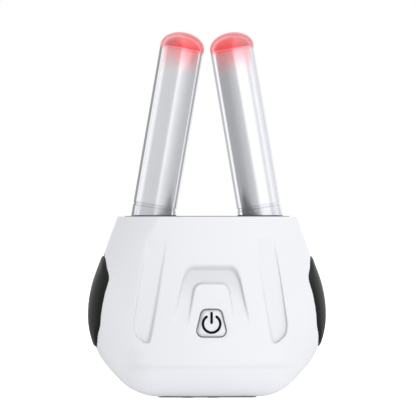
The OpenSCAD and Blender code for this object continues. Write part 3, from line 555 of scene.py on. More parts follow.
    def flank_x(self, y: Array, z: Array) -> Array:
        """Distance of the flank from the middle at a depth and a height.

        The place along the middle outline is corrected until the surface has the asked height.

        Args:
            y: Depths.
            z: Heights.
        Returns:
            Distances along X.
        """
        face, side = self.face_outline(), self.side_outline()
        s = np.arange(face.run[self.samples], face.run[self.rim], self.step)
        run = self.matched_run(s)
        f, m = face.at(s), side.at(run)
        y, z = np.abs(np.asarray(y, float)), np.asarray(z, float)
        place = np.interp(z, m[:, 1], run)
        for _ in range(self.tries):
            (fx, fz), (mx, mz) = ([np.interp(place, run, places) for places in points.T] for points in (f, m))
            t = y / self.face_y(fx)
            place = place + (z - (mz + (fz - mz) * self.roll(t))) * self.pull
        return mx + (fx - mx) * t**2

    def reach(self, y: float, z: float) -> float:
        """Distance of the flank from the middle at one depth and one height."""
        return self.flank_x(np.array([y]), np.array([z]))[0]

    def drawn_in(self, points: Array) -> Array:
        """The shells' inner surface: the same points drawn towards the middle by the wall.

        Args:
            points: Points of the outer surface, (..., 3).
        Returns:
            Points in the same order.
        """
        low, high = self.lift + self.wall, self.height - self.roof
        half = self.width / 2
        x, y, z = np.moveaxis(points, -1, 0)
        return columns(x * (half - self.wall) / half, y * (self.front - self.wall) / self.front,
                       low + (z - self.lift) * (high - low) / (self.height - self.lift))

    def top_outline(self, x_share: float, y_share: float) -> Array:
        """The rim's outline seen from above, drawn in by two shares.

        Args:
            x_share: Share kept along X.
            y_share: Share kept along Y.
        Returns:
            Closed outline, (n, 2).
        """
        t = np.linspace(0, 1, self.rim_samples[0], endpoint=False)
        side = columns(self.rim_x + (self.face_rim_x - self.rim_x) * t**2, -self.face_y(self.face_rim_x) * t)
        x = self.face_rim_x * np.linspace(1, 0, self.rim_samples[1])
        quarter = np.vstack([side, columns(x, -self.face_y(x))])
        half = np.vstack([quarter, (quarter * [-1, 1])[-2::-1]])
        whole = np.vstack([half, (half * [1, -1])[-2:0:-1]])
        return whole * [x_share, y_share]


@dataclass(frozen=True)
class FaceRelief:
    """The shallow forms in the face: two side channels, the arch and the dip round the button."""

    channel_deep: float = 0.85
    channel_low_z: float = 10.9
    channel_top_z: float = 31.7
    channel_line: tuple[tuple[float, float], ...] = (
        (8.7, 32.0), (9.0, 29.5), (9.75, 24.5), (10.5, 19.5), (11.15, 15.5), (11.6, 13.0), (11.9, 11.6),
        (12.25, 11.0), (12.9, 10.9), (13.9, 11.5), (14.8, 12.35), (15.25, 13.3), (15.4, 14.6), (15.25, 16.0),
        (14.75, 19.3), (13.95, 24.3), (13.1, 29.0), (12.8, 32.0))
    channel_points: int = 10
    channel_foot: float = 7.5
    channel_power: float = 0.8
    inner_wall: float = 0.75
    inner_least: float = 0.45
    outer_wall: float = 0.3
    outer_least: float = 0.5
    arch_deep: float = 0.8
    arch_low_z: float = 13.9
    arch_fade: float = 7.0
    arch_outer: tuple[tuple[float, float], ...] = ((5.25, 26.8), (8.1, 13.4))
    arch_inner: tuple[tuple[float, float], ...] = ((3.05, 22.7), (4.8, 13.4))
    arch_outer_r: float = 2.3
    arch_inner_r: float = 1.5
    arch_wall: float = 0.5
    arch_least: float = 0.6
    arch_top_wall: float = 1.1
    dip: float = 0.09
    dip_w: float = 1.5
    hole_roll: float = 0.16
    hole_roll_w: float = 0.35
    slope_step: float = 0.06
    lost_left: float = 0.24
    lost_right: float = 0.06
    lost_down: float = 0.3
    lost_up: float = 0.14
    lost_floor: float = 0.2
    lost_floor_z: float = 19.0
    lost_floor_h: float = 6.0

    def channels(self, x: Array, z: Array) -> Array:
        """Depth of the side channels.

        D(z) grows from nothing at the top to the full depth at the foot, times a smooth rise over the
        inner wall's width and one over the outer wall's.

        Args:
            x: Places across the face.
            z: Heights.
        Returns:
            Depths.
        """
        p = columns(np.abs(x), z)
        around = smooth_path(self.channel_line, self.channel_points)
        turn = int(self.channel_points * self.channel_foot)
        fade = np.clip((self.channel_top_z - z) / (self.channel_top_z - self.channel_low_z), 0, 1)
        deep = fade = fade**self.channel_power
        for path, wall, least in ((around[: turn + 1], self.inner_wall, self.inner_least),
                                  (around[turn:], self.outer_wall, self.outer_least)):
            deep = deep * smooth_step(path_distance(p, path, False) / (wall * at_least(least, fade)))
        return np.where(inside(p, around), self.channel_deep * deep, 0.0)

    def arch(self, x: Array, z: Array) -> Array:
        """Depth of the arch: a band between two rounded outlines that fades out down its legs.

        Args:
            x: Places across the face.
            z: Heights.
        Returns:
            Depths.
        """
        p = columns(np.abs(x), z)
        foot = [-1.0, self.arch_outer[1][1]]
        lines = (*self.arch_outer, self.arch_outer_r), (*self.arch_inner, self.arch_inner_r)
        outer, inner = (np.vstack([[-1.0, top[1]], rounded_corner([0, top[1]], top, low, radius, 12), low])
                        for top, low, radius in lines)
        within = inside(p, np.vstack([outer, foot])) & ~inside(p, np.vstack([inner, foot]))
        fade = smooth_step((z - self.arch_low_z) / self.arch_fade)
        wall = self.arch_wall * at_least(self.arch_least, fade)
        top_wall = wall + self.arch_top_wall * smooth_step((z - inner[1, 1]) / (outer[1, 1] - inner[1, 1]))
        walls = smooth_step(path_distance(p, outer, False) / top_wall)
        walls = walls * smooth_step(path_distance(p, inner, False) / wall)
        return np.where(within, self.arch_deep * fade * walls, 0.0)

    def depth(self, x: Array, z: Array, front: bool) -> Array:
        """Depth of the channels, and of the arch where the face has it."""
        return self.channels(x, z) + (self.arch(x, z) if front else 0.0)

    def shade(self, x: Array, z: Array, front: bool) -> Array:
        """How much of the light the walls of the recesses lose.

        With g the slope of the depth, it is 1 - exp(-k . g): most on walls that face left or down. The
        arch's floor has some of it under its upper wall.

        Args:
            x: Places across the face.
            z: Heights.
            front: Whether the face has the arch.
        Returns:
            Shares from 0 to 1.
        """
        step = self.slope_step
        across = (self.depth(x + step, z, front) - self.depth(x - step, z, front)) / (2 * step)
        up = (self.depth(x, z + step, front) - self.depth(x, z - step, front)) / (2 * step)
        lost = np.zeros(len(x))
        for slope, share in ((-across, self.lost_left), (across, self.lost_right),
                             (-up, self.lost_down), (up, self.lost_up)):
            lost += share * np.maximum(slope, 0)
        if front:
            under = smooth_step((z - self.lost_floor_z) / self.lost_floor_h)
            lost += self.lost_floor * under * np.clip(self.arch(x, z) / self.arch_deep, 0, 1)
        return 1 - np.exp(-lost)

    def button_dip(self, near: Array) -> Array:
        """Depth of the dip round the button and of its hole's rolled edge, at a distance from the hole."""
        return self.dip * smooth_step(1 - near / self.dip_w) + self.hole_roll * rolled(near, self.hole_roll_w)


# ---------------------------------------------------------------- finishes


def linear(value: float) -> float:
    """A displayed level from 0 to 1 as linear light."""
    return value / 12.92 if value <= 0.04045 else ((value + 0.055) / 1.055) ** 2.4


def shown(red: float, green: float, blue: float) -> Colour:
    """A colour given in displayed levels from 0 to 255, as linear light."""
    return linear(red / 255), linear(green / 255), linear(blue / 255)


DARK = (0.0, 0.0, 0.0)
PURE_WHITE = (1.0, 1.0, 1.0)


class Nodes:
    """A small hand for wiring the nodes of one tree."""

    def __init__(self, tree: bpy.types.NodeTree) -> None:
        """Keeps the tree."""
        self.tree = tree

    def add(self, kind: str, **inputs: object) -> Node:
        """Adds a node.

        Args:
            kind: Its type without the ShaderNode prefix.
            inputs: Node settings in lower case, or socket values and links with a leading capital
                and underscores for spaces.
        Returns:
            The node.
        """
        node = self.tree.nodes.new("ShaderNode" + kind)
        settings = {name: value for name, value in inputs.items() if name[0].islower()}
        for name, value in settings.items():
            setattr(node, name, value)
        self.fill(node, **{name: value for name, value in inputs.items() if name not in settings})
        return node

    def fill(self, node: Node, **values: object) -> None:
        """Puts values or links into a node's sockets, named with underscores for spaces."""
        for name, value in values.items():
            self.put(node.inputs[name.replace("_", " ")], value)

    def put(self, socket: Socket, value: object) -> None:
        """Links an output to a socket, or sets its value.

        Args:
            socket: An input.
            value: An output, a number or a colour.
        """
        if isinstance(value, Socket):
            self.tree.links.new(value, socket)
        elif socket.type == "RGBA":
            socket.default_value = (*value, 1.0)
        else:
            socket.default_value = value

    def math(self, operation: str, a: object, b: object, clamp: bool = False) -> Socket:
        """A Math node's value for two inputs.

        Args:
            operation: Blender's name for it.
            a: A number or an output.
            b: The second one, which an operation on one number ignores.
            clamp: Whether the value is held between 0 and 1.
        Returns:
            Its output.
        """
        node = self.add("Math", operation=operation, use_clamp=clamp)
        self.put(node.inputs[0], a)
        self.put(node.inputs[1], b)
        return node.outputs[0]

    def plus(self, a: object, b: object) -> Socket:
        """The sum a + b."""
        return self.math("ADD", a, b)

    def minus(self, a: object, b: object) -> Socket:
        """The difference a - b."""
        return self.math("SUBTRACT", a, b)

    def times(self, a: object, b: object) -> Socket:
        """The product a b."""
        return self.math("MULTIPLY", a, b)

    def either(self, share: object, a: object, b: object) -> Socket:
        """The value a where the share is 0, and b where it is 1."""
        return self.plus(self.times(a, self.minus(1.0, share)), self.times(b, share))

    def mix(self, share: object, a: object, b: object) -> Socket:
        """A colour between two.

        Args:
            share: 0 for a and 1 for b.
            a: A colour or an output.
            b: The other colour.
        Returns:
            Its output.
        """
        node = self.add("Mix", data_type="RGBA")
        for number, value in ((0, share), (6, a), (7, b)):
            self.put(node.inputs[number], value)
        return node.outputs[2]

    def ramp(self, value: object, low: float, high: float,
             to_low: object = 0.0, to_high: float = 1.0) -> Socket:
        """A value mapped smoothly between two ends, and held past them.

        Args:
            value: The value.
            low: Where it starts to change.
            high: Where it has changed.
            to_low: What low becomes.
            to_high: What high becomes.
        Returns:
            Its output.
        """
        node = self.add("MapRange", interpolation_type="SMOOTHSTEP")
        for number, given in enumerate((value, low, high, to_low, to_high)):
            self.put(node.inputs[number], given)
        return node.outputs[0]


def new_group(name: str, inputs: dict[str, str], outputs: dict[str, str]) -> tuple[Nodes, Node, Node]:
    """An empty shader group with named sockets.

    Args:
        name: Its name.
        inputs: Socket types by name.
        outputs: Socket types by name.
    Returns:
        The hand for its tree, its input node and its output node.
    """
    tree = bpy.data.node_groups.new(name, "ShaderNodeTree")
    for way, sockets in (("INPUT", inputs), ("OUTPUT", outputs)):
        for label, kind in sockets.items():
            tree.interface.new_socket(label, in_out=way, socket_type="NodeSocket" + kind)
    return Nodes(tree), tree.nodes.new("NodeGroupInput"), tree.nodes.new("NodeGroupOutput")


def new_material(name: str) -> tuple[bpy.types.Material, Nodes, Node]:
    """A material with nodes.

    Args:
        name: Its name.
    Returns:
        The material, the hand for its tree and its Principled node.
    """
    made = bpy.data.materials.new(name)
    made.use_nodes = True
    return made, Nodes(made.node_tree), made.node_tree.nodes["Principled BSDF"]


class Effects:
    """The shader groups that several finishes share."""

    def __init__(self) -> None:
        """Builds each group once."""
        self.grain = self._grain()
        self.probe_place = self._probe_place()

    @staticmethod
    def _grain() -> bpy.types.NodeTree:
        """Moulded or sanded grain: a fine bump, a slow drift of tone and a spread of roughness.

        Sizes are in millimetres. The tone is 1 + 2 drift (noise - 1/2), and the roughness moves alike.
        """
        floats = ("Drift", "Drift Size", "Grain Size", "Grain Depth", "Roughness", "Spread")
        n, start, end = new_group("surface grain", {"Color": "Color", **dict.fromkeys(floats, "Float")},
                                  {"Color": "Color", "Roughness": "Float", "Normal": "Vector"})
        given = start.outputs
        place = n.add("TexCoord").outputs["Object"]
        slow, fine = (n.math("DIVIDE", 1 / MM, given[name]) for name in ("Drift Size", "Grain Size"))
        drift = n.add("TexNoise", Vector=place, Scale=slow, Detail=2.0).outputs["Fac"]
        specks = n.add("TexNoise", Vector=place, Scale=fine, Detail=3.0, Roughness=0.6).outputs["Fac"]
        tone = n.times(n.minus(drift, 0.5), given["Drift"])
        colour = n.add("HueSaturation", Value=n.plus(n.times(tone, 2.0), 1.0), Color=given["Color"])
        spread = n.times(n.minus(specks, 0.5), given["Spread"])
        rough = n.math("ADD", given["Roughness"], n.times(spread, 2.0), clamp=True)
        bump = n.add("Bump", Strength=1.0, Distance=n.times(given["Grain Depth"], MM), Height=specks)
        n.fill(end, Color=colour.outputs["Color"], Roughness=rough, Normal=bump.outputs["Normal"])
        return n.tree

    @staticmethod
    def _probe_place() -> bpy.types.NodeTree:
        """Where a point lies on its probe, in millimetres: along it, towards the other one and to the right.

        With (x, z) from the hinge and a lean t, along is z cos t - x sin t and out is x cos t + z sin t.
        """
        n, _, end = new_group("probe place", {}, {"Along": "Float", "Inward": "Float", "Across": "Float"})
        place = n.add("SeparateXYZ", Vector=n.add("TexCoord").outputs["Object"]).outputs
        across = n.minus(n.times(n.math("ABSOLUTE", place["X"], 0.0), 1 / MM), ProbeForm.hinge[0])
        up = n.minus(n.times(place["Z"], 1 / MM), ProbeForm.hinge[1])
        cos, sin = math.cos(math.radians(ProbeForm.tilt)), math.sin(math.radians(ProbeForm.tilt))
        out = n.plus(n.times(across, cos), n.times(up, sin))
        n.fill(end, Along=n.minus(n.times(up, cos), n.times(across, sin)), Inward=n.times(out, -1.0),
               Across=n.times(out, n.math("SIGN", place["X"], 0.0)))
        return n.tree

    def place(self, n: Nodes) -> tuple[Socket, Socket, Socket]:
        """A point's place on its probe in a material: along it, inward and across."""
        return tuple(n.add("Group", node_tree=self.probe_place).outputs)


@dataclass(frozen=True)
class Finish:
    """A plain moulded, sanded or metal finish."""

    name: str
    colour: Colour
    roughness: float = 0.4
    metallic: float = 0.0
    drift: float = 0.02
    drift_size: float = 8.0
    grain_size: float = 0.2
    grain_depth: float = 0.002
    spread: float = 0.04
    coat: float = 0.0
    specular: float = 0.5

    def material(self, effects: Effects) -> bpy.types.Material:
        """The finish as a material, made once.

        Args:
            effects: The shared groups.
        Returns:
            The material.
        """
        made = bpy.data.materials.get(self.name)
        if made is None:
            made, n, shader = new_material(self.name)
            self.wire(n, shader, effects)
        return made

    def wire(self, n: Nodes, shader: Node, effects: Effects) -> Socket:
        """Wires the grain into the shader.

        Args:
            n: Hand for the material's nodes.
            shader: Its Principled node.
            effects: The shared groups.
        Returns:
            The finish's plain colour.
        """
        grain = n.add("Group", node_tree=effects.grain, Color=self.colour, Drift=self.drift,
                      Drift_Size=self.drift_size, Grain_Size=self.grain_size, Grain_Depth=self.grain_depth,
                      Roughness=self.roughness, Spread=self.spread).outputs
        n.fill(shader, Base_Color=grain["Color"], Roughness=grain["Roughness"], Normal=grain["Normal"],
               Metallic=self.metallic, Coat_Weight=self.coat, Specular_IOR_Level=self.specular)
        return grain["Color"]


@dataclass(frozen=True)
class TonedFinish(Finish):
    """A pale moulding whose small recesses lie in a soft shade, given by the mesh's "shade" attribute."""

    shade: Colour = shown(150, 152, 158)

    def wire(self, n: Nodes, shader: Node, effects: Effects) -> Socket:
        """Mixes the shade's colour into the plain one.

        Args:
            n: Hand for the material's nodes.
            shader: Its Principled node.
            effects: The shared groups.
        Returns:
            The finish's plain colour.
        """
        plain = super().wire(n, shader, effects)
        share = n.add("Attribute", attribute_name="shade").outputs["Fac"]
        n.fill(shader, Base_Color=n.mix(share, plain, self.shade))
        return plain


@dataclass(frozen=True)
class LitCore(Finish):
    """Satin metal that takes the light of the tip on its upper end."""

    glow: Colour = shown(255, 148, 152)
    far: Colour = shown(236, 166, 170)
    glow_from: float = 33.0
    glow_to: float = 39.2
    glow_power: float = 1.2
    glow_level: float = 0.06
    inward: tuple[float, float] = (-3.4, 2.0)
    # Painted shade on the right probe's side that faces the left.
    shaded_side: Colour = shown(206, 207, 209)
    side_shade_w: float = 2.4

    def wire(self, n: Nodes, shader: Node, effects: Effects) -> Socket:
        """Adds the glow, which grows along the probe, and a painted shade that darkens the right probe's side
        that faces the left.

        Args:
            n: Hand for the material's nodes.
            shader: Its Principled node.
            effects: The shared groups.
        Returns:
            The finish's plain colour.
        """
        plain = super().wire(n, shader, effects)
        along, inward, across = effects.place(n)
        share = n.math("POWER", n.ramp(along, self.glow_from, self.glow_to), self.glow_power)
        glow = n.mix(n.ramp(inward, *self.inward), self.far, self.glow)
        # Painted shade: the right probe's side that faces the left is darker.
        side_shade = n.times(n.ramp(inward, 0.0, self.side_shade_w), n.ramp(across, 0.0, -self.side_shade_w))
        n.fill(shader, Emission_Color=n.mix(share, DARK, glow), Emission_Strength=self.glow_level,
               Base_Color=n.mix(share, n.mix(side_shade, plain, self.shaded_side), glow))
        return plain


@dataclass(frozen=True)
class LitLens(Finish):
    """The red lens: lit from below, strongest at its foot on the side of the other probe."""

    lit: Colour = shown(250, 98, 101)
    dull: Colour = shown(208, 124, 130)
    lit_level: float = 0.57
    share_of_light: float = 0.45
    foot: float = 39.3
    tall: float = 2.2
    top_share: float = 0.55
    inward: tuple[float, float] = (-3.6, 0.36)

    def wire(self, n: Nodes, shader: Node, effects: Effects) -> Socket:
        """Mixes lit and dull red by the place on the lens.

        Args:
            n: Hand for the material's nodes.
            shader: Its Principled node.
            effects: The shared groups.
        Returns:
            The finish's plain colour.
        """
        plain = super().wire(n, shader, effects)
        along, inward, _ = effects.place(n)
        low = n.ramp(along, self.foot + self.tall, self.foot, self.top_share, 1.0)
        colour = n.mix(n.times(n.ramp(inward, *self.inward), low), self.dull, self.lit)
        n.fill(shader, Base_Color=n.mix(self.share_of_light, DARK, colour), Emission_Color=colour,
               Emission_Strength=self.lit_level)
        return plain


@dataclass(frozen=True)
class ClearFinish(Finish):
    """Thin clear moulded plastic: see-through where it is faced, grey and glossy where it is seen edge-on;
    its edges carry painted shade on the left and a painted highlight on the right.
    """

    roughness: float = 0.1
    metallic: float = 1.0
    drift: float = 0.004
    drift_size: float = 10.0
    grain_size: float = 3.0
    grain_depth: float = 0.003
    spread: float = 0.015
    ior: float = 1.49
    clear: Colour = shown(253, 253, 254)
    edge: Colour = shown(156, 157, 160)
    inner_edge: Colour = shown(212, 213, 216)
    # Painted light and shade: the edge colours on the right are paler than those on the left, and the pale
    # rim colour is a painted highlight.
    right_edge: Colour = shown(190, 191, 195)
    right_far_edge: Colour = shown(236, 237, 240)
    right_rim_highlight: Colour = shown(246, 247, 249)
    edge_from: float = 0.5
    edge_to: float = 0.62
    right_shift: float = 0.08
    rim_from: float = 0.6
    rim_to: float = 0.7
    half_w: float = 1.0
    most_gloss: float = 0.22

    def tints(self, n: Nodes, effects: Effects, facing: Socket) -> tuple[object, object]:
        """The colours that pass where the surface is faced and where it is seen edge-on.

        On the left the edge is one dark line, painted shade. On the right the line is thinner, with a pale
        rim outside it that is a painted highlight. Each is paler on the right probe, as painted light.

        Args:
            n: Hand for the material's nodes.
            effects: The shared groups.
            facing: 0 where the surface is faced and 1 where it is seen edge-on.
        Returns:
            Both colours.
        """
        _, inward, across = effects.place(n)
        inner = n.ramp(inward, -self.half_w, self.half_w)
        thin = n.mix(inner, self.right_far_edge, self.right_edge)
        right = n.mix(n.ramp(facing, self.rim_from, self.rim_to), thin, self.right_rim_highlight)
        left = n.mix(inner, self.edge, self.inner_edge)
        return self.clear, n.mix(n.ramp(across, -self.half_w, self.half_w), left, right)

    def wire(self, n: Nodes, shader: Node, effects: Effects) -> Socket:
        """Mixes a Transparent shader, tinted towards the edges, with a little mirror gloss.

        Args:
            n: Hand for the material's nodes.
            shader: Its Principled node.
            effects: The shared groups.
        Returns:
            The finish's plain colour.
        """
        plain = super().wire(n, shader, effects)
        facing = n.add("LayerWeight", Blend=0.5).outputs["Facing"]
        clear, edge = self.tints(n, effects, facing)
        across = effects.place(n)[2]
        # Painted light: the edge line is drawn thinner on the right side.
        turned = n.plus(facing, n.ramp(across, -self.half_w, self.half_w, 0.0, self.right_shift))
        tint = n.mix(n.ramp(turned, self.edge_from, self.edge_to), clear, edge)
        through = n.add("BsdfTransparent", Color=tint)
        gloss = n.math("MINIMUM", n.add("Fresnel", IOR=self.ior).outputs[0], self.most_gloss)
        both = n.add("MixShader", Fac=gloss)
        n.put(both.inputs[1], through.outputs[0])
        n.put(both.inputs[2], shader.outputs[0])
        n.fill(n.tree.nodes["Material Output"], Surface=both.outputs[0])
        return plain


@dataclass(frozen=True)
class LitClear(ClearFinish):
    """The clear sleeve, with the lens's red light painted into its tint over the dome."""

    # Painted light: the lens's red glow, painted into the sleeve's tint over the dome.
    lit_from: float = 38.2
    lit_to: float = 39.4
    lit_clear: Colour = shown(255, 198, 200)
    far_clear: Colour = shown(255, 206, 208)
    lit_edge: Colour = shown(250, 150, 154)
    far_edge: Colour = shown(246, 172, 176)
    inward: tuple[float, float] = (-3.0, 2.0)

    def tints(self, n: Nodes, effects: Effects, facing: Socket) -> tuple[object, object]:
        """Clear and grey below the dome; over it a painted glow of the lens in pink and red, stronger towards
        the other probe.

        Args:
            n: Hand for the material's nodes.
            effects: The shared groups.
            facing: 0 where the surface is faced and 1 where it is seen edge-on.
        Returns:
            Both colours.
        """
        clear, edge = super().tints(n, effects, facing)
        along, inward, _ = effects.place(n)
        share, near = n.ramp(along, self.lit_from, self.lit_to), n.ramp(inward, *self.inward)
        return (n.mix(share, clear, n.mix(near, self.far_clear, self.lit_clear)),
                n.mix(share, edge, n.mix(near, self.far_edge, self.lit_edge)))


CLEAR_TINT, CLOUDY, CLOUDY_EDGE = shown(250, 251, 252), shown(240, 241, 243), shown(228, 229, 231)
WHITE = TonedFinish("satin white moulding", shown(238, 239, 243), 0.42, drift=0.006, drift_size=14,
                    grain_size=0.25, grain_depth=0.0035, spread=0.05, specular=0.4)
CAP_WHITE = TonedFinish("gloss white cap", shown(236, 237, 241), 0.3, drift=0.006, grain_size=0.3,
                        specular=0.45)
PLATE = Finish("sanded grey plate", shown(78, 80, 84), 0.5, drift=0.03, grain_size=0.18, grain_depth=0.004,
               spread=0.08)
BASE = Finish("dark base plate", shown(44, 45, 48), 0.5, drift=0.04, grain_depth=0.005, spread=0.08)
GOLD = Finish("gold contact", shown(238, 196, 112), 0.3, 0.5, drift=0.05, drift_size=2, grain_size=0.12,
              grain_depth=0.001, spread=0.1)
RUBBER = Finish("soft grip rubber", shown(27, 28, 29), 0.42, drift=0.05, drift_size=5, grain_size=0.16,
                grain_depth=0.008, spread=0.08, specular=0.19)
SEAL = Finish("dark seal rubber", shown(116, 117, 120), 0.3, drift=0.05, drift_size=3, grain_size=0.15,
              grain_depth=0.006, spread=0.06, coat=0.5)
SYMBOL = Finish("black print", shown(4, 4, 5), 0.5, grain_size=0.12, grain_depth=0.001, spread=0.05,
                specular=0.12)
SLEEVE = LitClear("clear sleeve, outside", CLEAR_TINT)
SLEEVE_BORE = ClearFinish("clear sleeve, bore", CLEAR_TINT, 0.12, edge=CLEAR_TINT, inner_edge=CLEAR_TINT,
                          right_edge=shown(244, 245, 247), edge_from=0.55, edge_to=0.75, most_gloss=0.03)
COLLAR = ClearFinish("clear collar, outside", CLEAR_TINT)
COLLAR_BORE = ClearFinish("clear collar, bore", CLOUDY, 0.2, clear=CLOUDY, edge=CLOUDY_EDGE,
                          inner_edge=CLOUDY_EDGE, right_edge=CLOUDY_EDGE, most_gloss=0.06)
CUT_EDGE = ClearFinish("clear plastic, moulded lip", shown(230, 231, 233), 0.3, drift=0.02, drift_size=4,
                       grain_size=0.4, grain_depth=0.004, spread=0.03, clear=shown(206, 207, 210),
                       edge=shown(176, 177, 180), right_edge=shown(190, 191, 194), most_gloss=0.1)
CORE = LitCore("satin core tube", shown(232, 233, 236), 0.26, 0.85, drift=0.015, drift_size=6, grain_size=0.1,
               spread=0.06)
LENS = LitLens("lit red lens", shown(235, 80, 90), 0.25, grain_size=0.4, grain_depth=0.003, spread=0.05)
LED = Finish("clear diode", shown(240, 200, 196), 0.2, drift=0.03, grain_size=0.3, coat=0.4)
FRAME = Finish("grey frame moulding", shown(206, 208, 211), 0.45, drift=0.015, grain_size=0.25,
               grain_depth=0.005)
BOARD = Finish("green circuit board", shown(28, 96, 62), 0.35, drift=0.08, drift_size=1.5, grain_size=0.3,
               grain_depth=0.006, coat=0.3)
BLACK = Finish("black component body", shown(38, 38, 40), 0.42, drift=0.05, grain_size=0.12,
               grain_depth=0.004)
STEEL = Finish("bright steel", shown(198, 200, 203), 0.28, 1.0, drift=0.05, drift_size=1, grain_size=0.1,
               spread=0.1)
FOIL = Finish("battery foil", shown(186, 190, 197), 0.3, 0.85, drift=0.06, drift_size=3, grain_size=1.2,
              grain_depth=0.03, spread=0.08)
FOAM = Finish("dark foam", shown(56, 56, 58), 0.9, drift=0.2, drift_size=0.5, grain_size=0.35,
              grain_depth=0.12, spread=0.05)
JACKET = Finish("lead jacket", shown(206, 204, 200), drift=0.03, grain_size=0.3, grain_depth=0.003)


# ---------------------------------------------------------------- the shells


@dataclass
class Shells:
    """The two white half shells, with their relief, rolled edges and the openings for button and grips."""

    button: "PowerButton"
    grips: "Grips"
    form: BodyForm = field(default_factory=BodyForm)
    relief: FaceRelief = field(default_factory=FaceRelief)
    across: int = 176
    row_step: float = 0.18
    top_rows: int = 13
    top_rows_h: float = 0.9
    sharp: float = 32.0
    rim_w: float = 1.36
    rim_h: float = 0.45
    rim_soft: float = 0.3
    rim_passes: int = 5
    recess_roll: float = 0.1
    recess_roll_w: float = 0.25
    window_roll: float = 0.18
    window_roll_w: float = 0.5
    flank_x: float = 14.0
    seat: float = 0.05
    plate_low_z: float = 35.2
    roof_low_z: float = 32.9
    above_z: float = 37.0
    boss_inset: float = 3.3
    ledge_inset: float = 5.1
    base_w: float = 19.4
    base_d: float = 7.4
    base_r: float = 1.6
    base_h: float = 3.2
    screw_r: float = 0.9
    screw_head_r: float = 1.5
    screw_head_t: float = 0.8
    seam: float = 0.1
    face_half: float = 17.0
    face_reach: float = 1.3
    dip_shade: float = 0.06
    dip_least: float = 0.3
    dip_from: float = 0.3
    dip_low: float = 0.7
    crease_z: float = 6.3
    crease_w: float = 0.5
    crease_end: float = 3.0
    crease_shade: float = 0.07
    crease_deep: float = 7.0
    fillet: tuple[tuple[float, float], ...] = (
        (6.4, 1.7), (8.6, 1.9), (12.5, 0.9), (30.0, 0.8), (35.2, 0.5), (36.15, 0.0))

    def build(self, effects: Effects) -> None:
        """Builds both shells, cuts their openings and dresses them.

        Args:
            effects: The shared groups.
        """
        for name, front in (("front_shell", True), ("rear_shell", False)):
            piece = self.blank(name + "_skin", front)
            carve(piece, self.cutters(front))
            shade(piece, self.sharp)
            self.mark_shade(piece, front)
            dress(piece, [WHITE], effects, name, "housing")

    def mark_shade(self, piece: Piece, front: bool) -> None:
        """Writes the recesses' shade to the vertices of a shell's face.

        The front shell has a faint one round the button's hole, and one along the crease over the lower
        bevel: exp(-((z - z0) / w)^2).

        Args:
            piece: The shell.
            front: Whether it is the front shell.
        """
        x, y, z = vertices(piece).T
        depth = -y if front else y
        face = (depth > self.form.face_y(x) - self.face_reach) & (np.abs(x) < self.face_half)
        face &= z > self.form.face_low[1]
        value = np.zeros(len(x))
        value[face] = self.relief.shade(x[face], z[face], front)
        if front:
            near = path_distance(columns(x[face], z[face]), self.button.hole)
            below = (self.button.low_z - z[face]) / self.button.tall + self.dip_low
            low = at_least(self.dip_least, smooth_step(below))
            dip = smooth_step(1 - near / self.relief.dip_w) * (near > self.dip_from)
            value[face] += self.dip_shade * dip * low
            crease = np.exp(-(((z - self.crease_z) / self.crease_w) ** 2)) * (depth > self.crease_deep)
            value += self.crease_shade * crease * smooth_step((self.face_half - np.abs(x)) / self.crease_end)
        write_shade(piece, value)

    def blank(self, name: str, front: bool) -> Piece:
        """One closed half shell before its openings are cut.

        The face is a grid of rows, each from -w to w, on the bowed surface less the relief. Rings run
        from its edge over the flank to the middle plane, and the same rings drawn in make the inside.

        Args:
            name: Name of the object.
            front: The front shell, or the rear one, which is mirrored and has no arch or button.
        Returns:
            The object.
        """
        form, face = self.form, self.form.face_outline()
        low, high = face.run[form.samples], face.run[form.rim]
        fine = high - self.top_rows_h
        rows = np.concatenate([np.arange(low, fine, self.row_step), np.linspace(fine, high, self.top_rows)])
        ends = face.at(rows)
        x = ends[:, 0:1] * np.linspace(-1, 1, self.across + 1)
        flat_x, flat_z = x.ravel(), np.repeat(ends[:, 1], self.across + 1)
        deep = self.relief.depth(flat_x, flat_z, front)
        if front:
            near = distance_outside(columns(flat_x, flat_z), self.button.hole)
            deep = deep + self.relief.button_dip(near)
        points = columns(flat_x, -form.face_y(flat_x) + deep, flat_z)
        grid = np.arange(x.size).reshape(x.shape)
        loop = np.concatenate([grid[0, :-1], grid[:-1, -1], grid[-1, :0:-1], grid[:0:-1, 0]])
        face_run = np.concatenate([
            np.abs(x[0, :-1]), rows[:-1], high + form.face_rim_x - np.abs(x[-1, :0:-1]), rows[:0:-1]])
        f = columns(flat_x[loop], flat_z[loop])
        m = form.side_outline().at(form.matched_run(face_run))
        m *= columns(np.where(f[:, 0] < 0, -1.0, 1.0), 1.0)
        outer = form.flank(m, f, self.ring_shares()[1:])
        edge, inwards, height, width = self.face_edge(m, f)
        nearest, away = self.nearest_edge(points, edge, float(width.max()))
        points = points + self.fillet_move(nearest, away, inwards, height, width)
        number = np.broadcast_to(np.arange(len(edge)), outer.shape[:2])
        outer = outer + self.fillet_move(number, np.linalg.norm(outer - edge, axis=2), inwards, height, width)
        outer[-1] += (form.drawn_in(outer[-1]) - outer[-1]) * self.seam / form.wall
        middle = np.array([0.0, -form.front, (form.face_low[1] + form.height) / 2])
        share = np.array([[0.75], [0.5], [0.25]])
        crown_x, crown_z = f[:, 0] * share, middle[2] + (f[:, 1] - middle[2]) * share
        crown = columns(crown_x, -form.face_y(crown_x), crown_z)
        inner = form.drawn_in(np.concatenate([form.flank(m, f, np.linspace(0, 1, 11)), crown]))
        rings = np.concatenate([outer, inner])
        centre = len(points) + rings[..., 0].size
        outside = len(points) + outer[..., 0].size
        numbers = np.vstack([loop, np.arange(len(points), centre).reshape(rings.shape[:2])])
        points = np.vstack([points, rings.reshape(-1, 3), form.drawn_in(middle)])
        quads = np.vstack([grid_quads(grid), strip_quads(numbers)])
        points[:outside] = self.soften(points[:outside], quads[(quads < outside).all(axis=1)])
        return make_mesh(name, points if front else points * [1, -1, 1], [quads, fan(numbers[-1], centre)])

